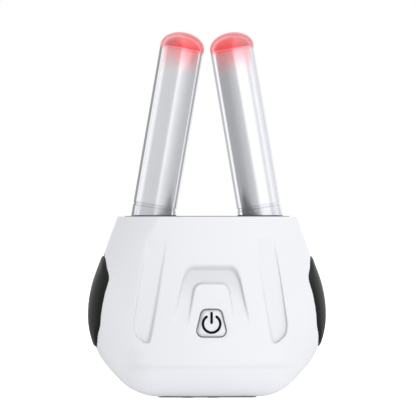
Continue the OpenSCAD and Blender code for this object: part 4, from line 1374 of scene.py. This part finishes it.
    def face_edge(self, m: Array, f: Array) -> tuple[Array, Array, Array, Array]:
        """The crease round the face, and the fillet that rounds it.

        Face and flank turn by an angle g at the crease. A parabola of half width w that touches both
        lies w tan(g / 2) / 2 under the crease, along the line between the two normals.

        Args:
            m: Points on the middle outline, (n, 2).
            f: Points on the face's outline, (n, 2).
        Returns:
            Points of the crease, the ways into the body, the fillet's depths and its half widths.
        """
        form = self.form
        near_edge, middle, least_cos = np.array([0.99]), [0, 0, 18], 0.3
        edge = columns(f[:, 0], -form.face_y(f[:, 0]), f[:, 1])
        along = np.roll(edge, -1, axis=0) - np.roll(edge, 1, axis=0)
        flank = np.cross(along, form.flank(m, f, near_edge)[0] - edge)
        flank *= np.sign(((edge - middle) * flank).sum(axis=1))[:, None]
        flank /= np.linalg.norm(flank, axis=1)[:, None]
        face = columns(f[:, 0], edge[:, 1] - form.bow_r + form.front, 0.0) / form.bow_r
        both = (flank + face) / np.linalg.norm(flank + face, axis=1)[:, None]
        cos = np.clip((both * face).sum(axis=1), least_cos, 1)
        heights, widths = np.array(self.fillet).T
        width = np.interp(f[:, 1], heights, widths)
        return edge, -both, width * np.sqrt(1 - cos**2) / cos / 2, width

    @staticmethod
    def nearest_edge(points: Array, edge: Array, reach: float) -> tuple[Array, Array]:
        """The nearest point of the crease to each point, and its distance in X and Z.

        Args:
            points: Points, (n, 3).
            edge: Points of the crease, (m, 3).
            reach: Distance past which no nearest point is needed.
        Returns:
            Numbers and distances, (n,).
        """
        coarse, far = 6, 99.0
        flat, line_points = points[:, [0, 2]], edge[:, [0, 2]]
        near = np.flatnonzero(path_distance(flat, line_points[::coarse]) < reach)
        gap = np.linalg.norm(flat[near][:, None] - line_points, axis=2)
        number, away = np.zeros(len(points), int), np.full(len(points), far)
        number[near], away[near] = gap.argmin(axis=1), gap.min(axis=1)
        return number, away

    @staticmethod
    def fillet_move(number: Array, away: Array, inwards: Array, height: Array, width: Array) -> Array:
        """The move h (1 - d / w)^2 into the body, at a distance d under w from the crease."""
        return inwards[number] * (height[number] * rolled(away, np.maximum(width[number], HAIR)))[..., None]

    def ring_shares(self) -> Array:
        """Shares of the flank's rings from its edge (1) to the middle plane (0): close at both ends."""
        near = 1 - np.linspace(0, 1.2, 9) / self.form.front
        return np.concatenate([near, np.linspace(near[-1], 0.012, 50)[1:], [0.0]])

    def recess(self) -> Array:
        """Outline of the recess that the top plate lies in."""
        rim = self.rim_w - self.seat
        return self.form.top_outline(1 - rim / self.form.rim_x, 1 - rim / self.form.front)

    def soften(self, points: Array, quads: Array) -> Array:
        """Rolls the rim's edge, and draws in the edges of the recess and of each grip's window.

        Each pass moves a vertex half way to the mean of its neighbours, times a mask that is 1 on the
        rim's edge and falls to 0 beside it.

        Args:
            points: The outside's vertices.
            quads: Its faces.
        Returns:
            The moved vertices.
        """
        form, far = self.form, 9.0
        ends = np.vstack([quads[:, [k, (k + 1) % 4]] for k in range(4)])
        count = np.bincount(ends.ravel(), minlength=len(points))
        high = points[:, 2] > form.height - self.rim_h
        to_rim = np.full(len(points), far)
        to_rim[high] = path_distance(points[high][:, :2], form.top_outline(1, 1))
        rim = np.where(high, smooth_step(1.6 - to_rim / self.rim_soft), 0.0)
        mask = (rim * (np.abs(points[:, 1]) > self.rim_soft / 2))[:, None] * 0.5
        a, b = ends.T
        for _ in range(self.rim_passes):
            sums = (np.bincount(a, places[b], len(points)) + np.bincount(b, places[a], len(points))
                    for places in points.T)
            points = points + mask * (columns(*sums) / np.maximum(count, 1)[:, None] - points)
        flank = np.abs(points[:, 0]) > self.flank_x
        top = points[:, 2] > form.height - 0.01
        window = self.grips.outline(self.grips.gap, self.grips.window_points)
        to_window = distance_outside(points[flank][:, 1:], window)
        to_recess = distance_outside(points[top][:, :2], self.recess())
        inward = -np.sign(points[flank, 0])
        moved = points.copy()
        moved[flank, 0] += inward * self.window_roll * rolled(to_window, self.window_roll_w)
        moved[top, 2] -= self.recess_roll * rolled(to_recess, self.recess_roll_w)
        return moved

    def cutters(self, front: bool) -> list[Piece]:
        """What a shell loses: roof recess and opening, base opening, windows, screw hole, button hole.

        Args:
            front: Whether it is the front shell.
        Returns:
            Closed solids.
        """
        form, seat_z = self.form, self.plate_low_z - self.seat
        ledge_x, ledge_y = form.rim_x - self.rim_w - self.seat, form.front - self.ledge_inset
        opening = form.top_outline(ledge_x / form.rim_x, ledge_y / form.front)
        boss = [0, (form.front - self.boss_inset) * (-1 if front else 1)]
        w, d = self.base_w / 2 + 2 * self.seat, self.base_d / 2 + 2 * self.seat
        base = rounded_outline([(-w, -d), (w, -d), (w, d), (-w, d)], [self.base_r] * 4, 10)
        cuts = [
            prism("recess", self.recess(), seat_z, self.above_z + 1),
            prism("opening", opening, self.roof_low_z, self.above_z),
            prism("base", base, -1, self.base_h),
            prism("screw", circle(40) * self.screw_r + boss, self.roof_low_z, self.above_z),
            prism("head", circle(40) * self.screw_head_r + boss, seat_z - self.screw_head_t, self.above_z),
            *(self.grips.window(side) for side in Side),
        ]
        if front:
            cuts.append(prism("hole", self.button.hole, *self.button.hole_y, Axis.Y))
        return cuts


# ---------------------------------------------------------------- grips


@dataclass
class Grips:
    """The two soft grips on the flanks."""

    form: BodyForm = field(default_factory=BodyForm)
    low_z: float = 10.1
    top_z: float = 28.5
    low_y: float = 4.2
    top_y: float = 5.0
    low_corner: float = 4.5
    top_corner: float = 4.6
    low_turn: tuple[float, float] = (0.52, 1.0)
    top_turn: tuple[float, float] = (0.58, 1.3)
    proud: float = 0.225
    thick: float = 1.6
    gap: float = 0.3
    tip_r: float = 1.0
    corner_r: float = 3.2
    pad_edge_y: float = 3.1
    points: int = 320
    sharp: float = 50.0
    edge: tuple[tuple[float, float], ...] = (
        (0.0, 0.75), (0.0, 0.45), (0.02, 0.33), (0.06, 0.24), (0.12, 0.165), (0.2, 0.1), (0.3, 0.05),
        (0.42, 0.02), (0.56, 0.005), (0.75, 0), (1.0, 0), (1.5, 0), (2.1, 0), (2.8, 0), (3.6, 0), (4.5, 0))
    least_share: float = 0.06
    middle_shares: tuple[float, ...] = (0.35, 0.2, 0.08)
    back_shares: tuple[float, ...] = (0.35, 0.62, 0.98)
    window_points: int = 240
    window_in: float = 3.4
    window_out: float = 2.0
    window_grow: float = 0.7
    window_drop: float = 2.0

    @property
    def mid_z(self) -> float:
        """Height of the grip's middle."""
        return (self.low_z + self.top_z) / 2

    def outline(self, grow: float, count: int) -> Array:
        """The grip's outline in Y and Z, grown away from its middle.

        Args:
            grow: How far it is grown.
            count: How many points.
        Returns:
            Closed outline, (count, 2).
        """
        half = [(self.low_y * self.low_turn[0], self.low_z + self.low_turn[1]),
                (self.low_y, self.low_z + self.low_corner), (self.top_y, self.top_z - self.top_corner),
                (self.top_y * self.top_turn[0], self.top_z - self.top_turn[1])]
        corners = [(0, self.low_z), *half, (0, self.top_z), *((-y, z) for y, z in half[::-1])]
        radii = ([self.tip_r] + [self.corner_r] * 4) * 2
        points = even_outline(rounded_outline(corners, radii, 24), count)
        away = points - [0, self.mid_z]
        return points + away / np.linalg.norm(away, axis=1)[:, None] * grow

    def window(self, side: Side) -> Piece:
        """The cutter of a grip's window, wider inside the wall.

        Args:
            side: Which flank.
        Returns:
            The cutter.
        """
        rings = []
        for grow, drop, out in ((self.window_grow, self.window_drop, -self.window_in),
                                (self.gap, 0.0, 0.0), (self.gap, 0.0, self.window_out)):
            y, z = self.outline(grow, self.window_points).T
            share = np.clip((self.top_z - z) / (self.top_z - self.low_z), 0, 1)
            rings.append(columns(side.value * (self.form.flank_x(y, z) + out), y, z - drop * share))
        ends = (self._middle(out, side) for out in (-self.window_in, self.window_out))
        return ring_solid("window", np.stack(rings), *ends)

    def build(self, effects: Effects) -> None:
        """Builds and dresses both grips.

        Rings shrink from the outline to the middle: the outside lies proud of the flank, less the drop
        of its rolled edge, and a flat back lies on the lever.

        Args:
            effects: The shared groups.
        """
        centre = np.array([0.0, self.mid_z])
        spread = self.outline(0.0, self.points) - centre
        lengths = np.linalg.norm(spread, axis=1)
        for side in Side:
            rings = [self._back(centre + spread * share, side) for share in self.back_shares]
            for step, low in self.edge:
                share = np.maximum(self.least_share, 1 - step / lengths)[:, None]
                rings.append(self._ring(centre + spread * share, self.proud - low, side))
            for share in self.middle_shares:
                rings.append(self._ring(centre + spread * share, self.proud, side))
            first, last = self._back(centre[None], side)[0], self._middle(self.proud, side)
            piece = ring_solid(f"{side.word}_grip_pad", np.stack(rings), first, last, self.sharp)
            dress(piece, [RUBBER], effects, f"{side.word}_grip", f"{side.word}_arm")

    def _ring(self, p: Array, out: float, side: Side) -> Array:
        """Points of one ring on the outside, at a height over the flank."""
        return columns(side.value * (self.form.flank_x(p[:, 0], p[:, 1]) + out), p[:, 0], p[:, 1])

    def _middle(self, out: float, side: Side) -> Array:
        """The point over the flank's middle at a height over it."""
        return np.array([side.value * (self.form.reach(0.0, self.mid_z) + out), 0.0, self.mid_z])

    def _back(self, p: Array, side: Side) -> Array:
        """Points of one ring on the back: flat on the lever, and a constant thickness beside it.

        Args:
            p: The ring's places in Y and Z, (n, 2).
            side: Which grip.
        Returns:
            Points, (n, 3).
        """
        form = self.form
        fall = form.reach(0.0, self.mid_z) - form.reach(self.pad_edge_y, self.mid_z)
        flat = form.flank_x(np.zeros(len(p)), p[:, 1]) - fall - self.thick
        x = np.minimum(flat, form.flank_x(p[:, 0], p[:, 1]) - self.thick)
        return columns(side.value * x, p[:, 0], p[:, 1])


# ---------------------------------------------------------------- the power button


@dataclass
class PowerButton:
    """The button's cap, with its flange and rod behind it."""

    low_z: float = 12.35
    tall: float = 5.4
    low_w: float = 6.5
    top_w: float = 3.7
    gap: float = 0.19
    corner_r: float = 1.2
    front_y: float = -12.2
    cap_t: float = 1.75
    wall_y: float = 0.75
    flange_t: float = 0.7
    flange_out: float = 0.85
    rod_r: float = 1.4
    rod_end_y: float = -7.8
    hole_y: tuple[float, float] = (-14.0, -6.0)
    roll_w: float = 0.85
    roll_deep: float = 0.6
    lip_w: float = 0.12
    lip_deep: float = 0.12
    sharp: float = 50.0
    shade_w: float = 0.9
    shade_level: float = 0.05
    shade_left: float = 0.4
    shade_top: float = 0.25

    @property
    def centre(self) -> Array:
        """Middle of the cap in X and Z."""
        return np.array([0.0, self.low_z + self.tall / 2])

    @property
    def hole(self) -> Array:
        """Outline of the hole in the front shell."""
        return self.outline(self.gap)

    def outline(self, grow: float, count: int = 200) -> Array:
        """The cap's outline in X and Z, grown on all sides.

        Args:
            grow: How far it is grown.
            count: How many points.
        Returns:
            Closed outline, (count, 2).
        """
        low, top = self.low_z - grow, self.low_z + self.tall + grow
        a, b = self.low_w / 2 + grow, self.top_w / 2 + grow
        corners = [(-a, low), (a, low), (b, top), (-b, top)]
        return even_outline(rounded_outline(corners, [self.corner_r + grow] * 4, 24), count)

    def build(self, effects: Effects) -> None:
        """Builds and dresses the cap.

        The front is level in the middle and rolls back near its edge by deep (1 - d / w)^2, with d the
        distance from the outline.

        Args:
            effects: The shared groups.
        """
        outline, flange, centre = self.outline(0.0), self.outline(self.flange_out), self.centre
        rod = centre + self.rod_r * circle(len(outline), np.radians(-135))
        cap_back = self.front_y + self.cap_t
        flange_back = cap_back + self.flange_t
        places = [(rod, self.rod_end_y), (rod, flange_back), (flange, flange_back), (flange, cap_back),
                  (outline, cap_back), (outline, self.front_y + self.wall_y)]
        for share in (1.0, 0.995, 0.985, 0.97, *np.linspace(0.95, 0.55, 14), 0.4, 0.25, 0.1):
            p = centre + (outline - centre) * share
            near = path_distance(p, outline)
            back = self.roll_deep * rolled(near, self.roll_w) + self.lip_deep * rolled(near, self.lip_w)
            places.append((p, self.front_y + back))
        rings = np.stack([columns(p[:, 0], y, p[:, 1]) for p, y in places])
        first, last = (np.array([0.0, y, centre[1]]) for y in (self.rod_end_y, self.front_y))
        piece = ring_solid("power_button_cap", rings, first, last, self.sharp)
        self.mark_shade(piece)
        dress(piece, [CAP_WHITE], effects, "power_button", "power_button")

    def mark_shade(self, piece: Piece) -> None:
        """Shades the cap's border, which the hole's wall shadows: most at the left, then at the top.

        Args:
            piece: The cap.
        """
        x, y, z = vertices(piece).T
        flat = columns(x, z)
        left, up = (flat - self.centre).T * [[-1], [1]]
        left, up = (np.maximum(way, 0) / np.maximum(np.hypot(left, up), HAIR) for way in (left, up))
        side = self.shade_level + self.shade_left * left + self.shade_top * up
        near = smooth_step(1 - path_distance(flat, self.outline(0.0)) / self.shade_w)
        on_front = y < self.front_y + self.wall_y - 0.01
        write_shade(piece, np.where(on_front, side * near, 0.0))


# ---------------------------------------------------------------- probes


@dataclass
class ProbeForm:
    """One probe: places along it are measured from its hinge, on an axis that leans to the middle."""

    hinge: tuple[float, float] = (11.602, 31.2)
    tilt: float = 9.7
    sleeve_r: float = 4.4
    cave_r: float = 3.7
    core_r: float = 3.5
    core_bore_r: float = 2.8
    ledge_r: float = 2.5
    light_low: float = 29.4
    plug_top: float = 9.05
    dome_h: float = 2.99
    lens_r: float = 3.6
    lens_h: float = 2.2
    spigot_h: float = 1.2
    length: float = 39.4
    core_low: float = 3.2
    core_top: float = 39.2
    core_stations: tuple[float, ...] = (12.0, 20.0, 29.0, 34.0)
    core_edge_r: float = 0.15
    seal_r: float = 4.5
    seal_h: float = 1.2
    seal_roll: float = 0.02
    seal_top_z: float = 36.5
    hem_low: float = 6.824
    hem_top: float = 7.324
    hem_edge: float = 0.15
    sleeve_edge_r: float = 0.12
    collar_edge_r: float = 0.1
    neck_r: float = 4.28
    lip: float = 0.09
    seat: float = 0.05
    turns: int = 144
    dome_points: int = 24
    sleeve_points: int = 12
    sleeve_ends: tuple[float, float] = (1.0, 1.5)
    looks_in: float = 0.2

    @property
    def lean(self) -> float:
        """The axis's lean in radians."""
        return math.radians(self.tilt)

    def revolve(self, name: str, profile: Array, side: Side, sharp: float) -> Piece:
        """A profile of radius and place turned round the probe's axis.

        P = hinge + a u + r (cos v e1 + sin v e2), with u along the probe, e1 across it in the X-Z plane
        and e2 along Y. Where a place isn't a number, it lies on the level plane at the foot ring's top.

        Args:
            name: Name of the object.
            profile: Rows of (r, a). It starts and ends on the axis, or it is closed on itself.
            side: Which probe.
            sharp: Angle from which edges stay sharp.
        Returns:
            The object.
        """
        cos, sin = math.cos(self.lean), math.sin(self.lean)
        r, a = profile[:, 0:1], profile[:, 1:2]
        out, depth = r * circle(self.turns)[:, 0], r * circle(self.turns)[:, 1]
        a = np.where(np.isnan(a), (self.seal_top_z - self.hinge[1] - out * sin) / cos, a)
        x = self.hinge[0] - a * sin + out * cos
        z = self.hinge[1] + a * cos + out * sin
        rings = columns(side.value * x, depth, z)
        if profile[0, 0] == 0 and profile[-1, 0] == 0:
            return ring_solid(name, rings[1:-1], rings[0, 0], rings[-1, 0], sharp)
        numbers = np.arange(x.size).reshape(x.shape)
        return make_mesh(name, rings.reshape(-1, 3), [strip_quads(np.vstack([numbers, numbers[:1]]))], sharp)

    def dome(self, radius: float, height: float) -> Array:
        """A quarter of an ellipse from its foot to its top: (r cos v, foot + h sin v).

        Args:
            radius: Radius of its foot.
            height: How far its top lies over its foot.
        Returns:
            Rows of (r, a).
        """
        v = np.linspace(0, np.pi / 2, self.dome_points)
        p = columns(radius * np.cos(v), self.length + height * np.sin(v))
        p[-1, 0] = 0.0
        return p

    @staticmethod
    def rounded(points: Sequence[Point], radius: float, *corners: int) -> Array:
        """A closed profile with the corners of these numbers rounded."""
        return rounded_outline(points, [radius if i in corners else 0 for i in range(len(points))], 5)


@dataclass
class Probes:
    """Both probes: dark foot ring, clear collar, silver core, red lens and clear sleeve."""

    form: ProbeForm = field(default_factory=ProbeForm)

    def build(self, effects: Effects) -> None:
        """Builds and dresses the pieces of both probes, which reflections leave out.

        Args:
            effects: The shared groups.
        """
        pieces = (
            ("seal_ring", self.seal_ring(), 50, (SEAL,), "seal_rubber"),
            ("collar", self.collar(), 50, (COLLAR, COLLAR_BORE, CUT_EDGE), "clear_plastic"),
            ("core", self.core(), 40, (CORE,), "core_silver"),
            ("tip_lens", self.lens(), 40, (LENS,), "lens_red"),
            ("sleeve", self.sleeve(), 60, (SLEEVE, SLEEVE_BORE, CUT_EDGE), "clear_plastic"),
        )
        for side in Side:
            for kind, profile, sharp, finishes, slot in pieces:
                piece = self.form.revolve(f"{side.word}_{kind}_skin", profile, side, sharp)
                dress(piece, finishes, effects, f"{side.word}_{kind}", f"{side.word}_arm")
                if len(finishes) > 1:
                    self.part_surfaces(piece, side)
                piece.visible_glossy = False

    def part_surfaces(self, piece: Piece, side: Side) -> None:
        """Gives the outside, the bore and the lips at the gap line their own finishes.

        A face's place is a = x sin t + z cos t along the probe, and its normal says whether it looks
        towards the axis. A lip lies within a short way of the gap line.

        Args:
            piece: A sleeve or a collar.
            side: Which probe.
        """
        f, faces = self.form, piece.data.polygons
        centre, normal = np.empty(len(faces) * 3), np.empty(len(faces) * 3)
        faces.foreach_get("center", centre)
        faces.foreach_get("normal", normal)
        centre, normal = centre.reshape(-1, 3) / MM, normal.reshape(-1, 3)
        way = np.array([-side.value * math.sin(f.lean), 0.0, math.cos(f.lean)])
        from_hinge = centre - [side.value * f.hinge[0], 0.0, f.hinge[1]]
        along = from_hinge @ way
        out = from_hinge - along[:, None] * way
        radius = np.linalg.norm(out, axis=1)
        looks_in = (out * normal).sum(axis=1) < -f.looks_in * radius
        looks_in |= (along > f.length) & (normal @ way < 0)
        lip = np.minimum(abs(along - f.hem_low), abs(along - f.hem_top)) < f.lip
        lip &= radius > f.neck_r - 0.2
        faces.foreach_set("material_index", np.where(lip, 2, np.where(looks_in, 1, 0)).astype(np.int32))

    def sleeve(self) -> Array:
        """Profile of the clear sleeve: a domed tube, open at its foot."""
        f = self.form
        inner = f.dome(f.cave_r, f.dome_h - (f.sleeve_r - f.cave_r))[::-1]
        foot = f.rounded([(f.cave_r, f.length), (f.cave_r, f.hem_top), (f.sleeve_r, f.hem_top),
                          (f.sleeve_r, f.length)], f.sleeve_edge_r, 1, 2)
        steps = np.linspace(f.length - f.sleeve_ends[1], f.hem_top + f.sleeve_ends[0], f.sleeve_points)
        down, up = columns(f.cave_r, steps), columns(f.sleeve_r, steps[::-1])
        return np.vstack([inner, down, foot[1:-1], up, f.dome(f.sleeve_r, f.dome_h)])

    def collar(self) -> Array:
        """Profile of the clear collar: from the level foot ring to the gap line, then the sleeve's neck."""
        f, r = self.form, self.form.core_r + self.form.seat
        outside = [(f.sleeve_r, a) for a in (math.nan, f.hem_low - f.hem_edge, f.hem_low)]
        neck = [(f.neck_r, f.hem_low), (f.neck_r, f.hem_top)]
        return f.rounded([*outside, *neck, (r, f.hem_top), (r, math.nan)], f.collar_edge_r, 2)

    def seal_ring(self) -> Array:
        """Profile of the dark foot ring: round the probe, and level on top."""
        f, r = self.form, self.form.core_r + self.form.seat
        return np.array([(r, f.core_low), (f.seal_r, f.core_low), (f.seal_r, f.core_low + f.seal_h),
                         (f.seal_r, math.nan), (f.seal_r - f.seal_roll, math.nan), (r, math.nan)])

    def core(self) -> Array:
        """Profile of the core tube with its inner ledge, and a rounded upper edge."""
        f = self.form
        wall = [(f.core_r, a) for a in (f.core_low, *f.core_stations, f.core_top)]
        bore = [(f.core_bore_r, f.core_top), (f.core_bore_r, f.light_low), (f.ledge_r, f.light_low),
                (f.ledge_r, f.plug_top), (f.core_bore_r, f.plug_top)]
        return f.rounded([(f.core_bore_r, f.core_low), *wall, *bore], f.core_edge_r, len(wall))

    def lens(self) -> Array:
        """Profile of the red lens: a spigot in the core, a thin foot disc and the dome."""
        f, foot = self.form, self.form.core_top - self.form.spigot_h
        spigot = f.core_bore_r - 2 * f.seat
        low = [(0.0, foot), (spigot, foot), (spigot, f.core_top), (f.lens_r, f.core_top)]
        return np.vstack([low, f.dome(f.lens_r, f.lens_h)])


# ---------------------------------------------------------------- pieces that keep their CAD shape


class Carried:
    """Dresses the CAD nodes whose own shape is right."""

    FINISHES: dict[str, Finish] = {
        "top_plate": PLATE, "base_plate": BASE, "charging_contacts": GOLD, "contact_board": BOARD,
        "front_frame": FRAME, "rear_frame": FRAME, "frame_screws": STEEL, "top_screws": STEEL,
        "main_board": BOARD, "board_parts": BLACK, "board_screws": STEEL, "power_switch": BLACK,
        "battery": FOIL, "battery_pad": FOAM, "battery_leads": JACKET, "charge_leads": JACKET,
        "power_symbol": SYMBOL, "switch_plunger": BLACK,
    }
    PAIRED: dict[str, Finish] = {
        "spring": STEEL, "lever": FRAME, "led_board": BOARD, "leds": LED, "lead": JACKET,
    }

    def dress(self, effects: Effects) -> None:
        """Gives each of these nodes its finish. What the probes carry is left out of reflections too.

        Args:
            effects: The shared groups.
        """
        paired = {f"{side.word}_{name}": finish for side in Side for name, finish in self.PAIRED.items()}
        for name, finish in {**self.FINISHES, **paired}.items():
            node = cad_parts[name]
            material = finish.material(effects)
            if node.material_slots:
                for place in node.material_slots:
                    place.material = material
            else:
                node.data.materials.append(material)
            node.visible_glossy = name not in paired
        log.info("carried nodes: %d", len(self.FINISHES) + len(paired))


# ---------------------------------------------------------------- studio


def facing(azimuth: float, elevation: float = 0.0) -> Vector:
    """The way from the object towards an azimuth and an elevation in degrees; 0, 0 is the front."""
    a, e = math.radians(azimuth), math.radians(elevation)
    return Vector((math.sin(a) * math.cos(e), -math.cos(a) * math.cos(e), math.sin(e)))


def aim(piece: Piece, back: Vector) -> None:
    """Turns a camera or a lamp so that the way back leads away from what it faces."""
    piece.rotation_euler = (-back).to_track_quat("-Z", "Y").to_euler()


@dataclass(frozen=True)
class Lamp:
    """A soft box that faces the object."""

    name: str
    azimuth: float
    elevation: float
    distance: float
    width: float
    height: float
    level: float
    mirrored: bool = True

    def build(self, target: Vector) -> None:
        """Places the lamp. Its power is level x pi x area, so that level is how bright its face looks.

        Args:
            target: What it faces.
        """
        data = bpy.data.lights.new(self.name, "AREA")
        data.shape, data.size, data.size_y = "RECTANGLE", self.width, self.height
        data.energy = self.level * math.pi * self.width * self.height
        lamp = placed(self.name, data)
        back = facing(self.azimuth, self.elevation)
        lamp.location = target + back * self.distance
        aim(lamp, back)
        lamp.visible_camera = False
        lamp.visible_glossy = self.mirrored


@dataclass(frozen=True)
class Studio:
    """Camera, lamps, floor and the pale surroundings; its sizes are metres."""

    azimuth: float = -4.3
    distance: float = 1.5
    sensor: float = 36.0
    clip: tuple[float, float] = (0.05, 20.0)
    frame_w: float = 0.0832
    centre_x: float = 0.0002
    centre_z: float = 0.0379
    target: tuple[float, float, float] = (0.0, 0.0, 0.03)
    lamps: tuple[Lamp, ...] = (
        Lamp("tall soft box", 12.0, 4, 1.2, 0.95, 1.0, 1.45, False),
        Lamp("right soft box", 58, 4, 1.2, 0.9, 1.0, 0.42, False),
        Lamp("top soft box", 10, 70, 1.2, 0.9, 0.9, 0.35),
    )
    ambient: float = 0.7
    ambient_turn: float = 0.14
    back_from: float = 0.25
    back_to: float = 0.5
    back_level: float = 1.25
    front_level: float = 0.72
    front_rise: float = 0.42
    front_right: tuple[float, float] = (0.2, 0.95)
    front_turn: float = 0.12
    band_from: tuple[float, float] = (-0.1, 0.04)
    band_to: tuple[float, float] = (0.2, 0.92)
    band_end: tuple[float, float] = (0.9, 0.985)
    band_level: float = 0.9
    band_low: float = 0.56
    floor_half: float = 6.0
    floor_step: float = 0.5
    floor_grey: float = 0.86
    floor_mirrored: float = 0.78
    floor_rough: float = 0.9
    floor_glow: float = 0.25
    floor_seen: float = 0.7

    def build(self) -> None:
        """Builds the camera, the lamps, the surroundings and the floor."""
        self.camera()
        for lamp in self.lamps:
            lamp.build(Vector(self.target))
        self.surroundings()
        self.floor()
        bpy.context.scene.view_settings.view_transform = "Standard"
        log.info("studio: %d lamps", len(self.lamps))

    def camera(self) -> None:
        """A long lens at the photograph's angle."""
        data = bpy.data.cameras.new("camera")
        data.sensor_width, data.lens = self.sensor, self.sensor * self.distance / self.frame_w
        data.clip_start, data.clip_end = self.clip
        camera = placed("camera", data)
        back, right = facing(self.azimuth), facing(self.azimuth + 90)
        camera.location = back * self.distance + right * self.centre_x + Vector((0, 0, self.centre_z))
        aim(camera, back)
        bpy.context.scene.camera = camera

    @staticmethod
    def rays(n: Nodes) -> tuple[Socket, Socket]:
        """Shares that are 1 for a ray that sees the thing itself, and for a mirrored ray."""
        path = n.add("LightPath").outputs
        return n.math("MAXIMUM", path["Is Camera Ray"], path["Is Transmission Ray"]), path["Is Glossy Ray"]

    def surroundings(self) -> None:
        """White where the world is seen, a soft even light otherwise, and in reflections a room.

        The room in front is dimmer, with one tall bright band that fades to the right.
        """
        world = bpy.data.worlds.new("studio")
        bpy.context.scene.world = world
        world.use_nodes = True
        n = Nodes(world.node_tree)
        seen, glossy = self.rays(n)
        x, y, z = n.add("SeparateXYZ", Vector=n.add("TexCoord").outputs["Generated"]).outputs
        room = n.plus(n.times(z, self.front_rise), self.front_level)
        room = n.plus(n.ramp(x, *self.front_right, 0.0, self.front_turn), room)
        band = n.ramp(x, *self.band_to, self.band_level, self.band_low)
        band = n.times(band, n.ramp(x, *self.band_end, 1.0, 0.0))
        band = n.times(band, n.ramp(x, *self.band_from))
        mirrored = n.ramp(y, self.back_from, self.back_to, n.plus(band, room), self.back_level)
        soft = n.plus(n.times(x, self.ambient_turn), self.ambient)
        n.fill(n.tree.nodes["Background"], Color=PURE_WHITE,
               Strength=n.either(seen, n.either(glossy, soft, mirrored), 1.0))

    def floor(self) -> None:
        """A pale floor that shows white and keeps the object's shadow."""
        count = int(2 * self.floor_half / self.floor_step) + 1
        places = np.linspace(-self.floor_half, self.floor_half, count)
        points = columns(*np.meshgrid(places, places), 0.0).reshape(-1, 3)
        mesh = bpy.data.meshes.new("floor")
        quads = grid_quads(np.arange(count * count).reshape(count, count))
        mesh.from_pydata(points.tolist(), [], quads.tolist())
        material, n, shader = new_material("pale floor")
        seen, glossy = self.rays(n)
        glow = n.times(n.minus(1.0, glossy), self.floor_glow)
        n.fill(shader, Base_Color=n.mix(glossy, (self.floor_grey,) * 3, (self.floor_mirrored,) * 3),
               Roughness=self.floor_rough, Specular_IOR_Level=0.0, Emission_Color=PURE_WHITE,
               Emission_Strength=n.either(seen, glow, self.floor_seen))
        mesh.materials.append(material)
        placed("floor", mesh)


def main() -> None:
    """Builds the device's pieces in order, then the studio."""
    logging.basicConfig(level=logging.INFO, format="%(name)s: %(message)s")
    effects = Effects()
    Studio().build()
    button, grips = PowerButton(), Grips()
    Shells(button, grips).build(effects)
    grips.build(effects)
    button.build(effects)
    Probes().build(effects)
    Carried().dress(effects)
    bpy.context.view_layer.update()


if __name__ == "__main__":
    main()
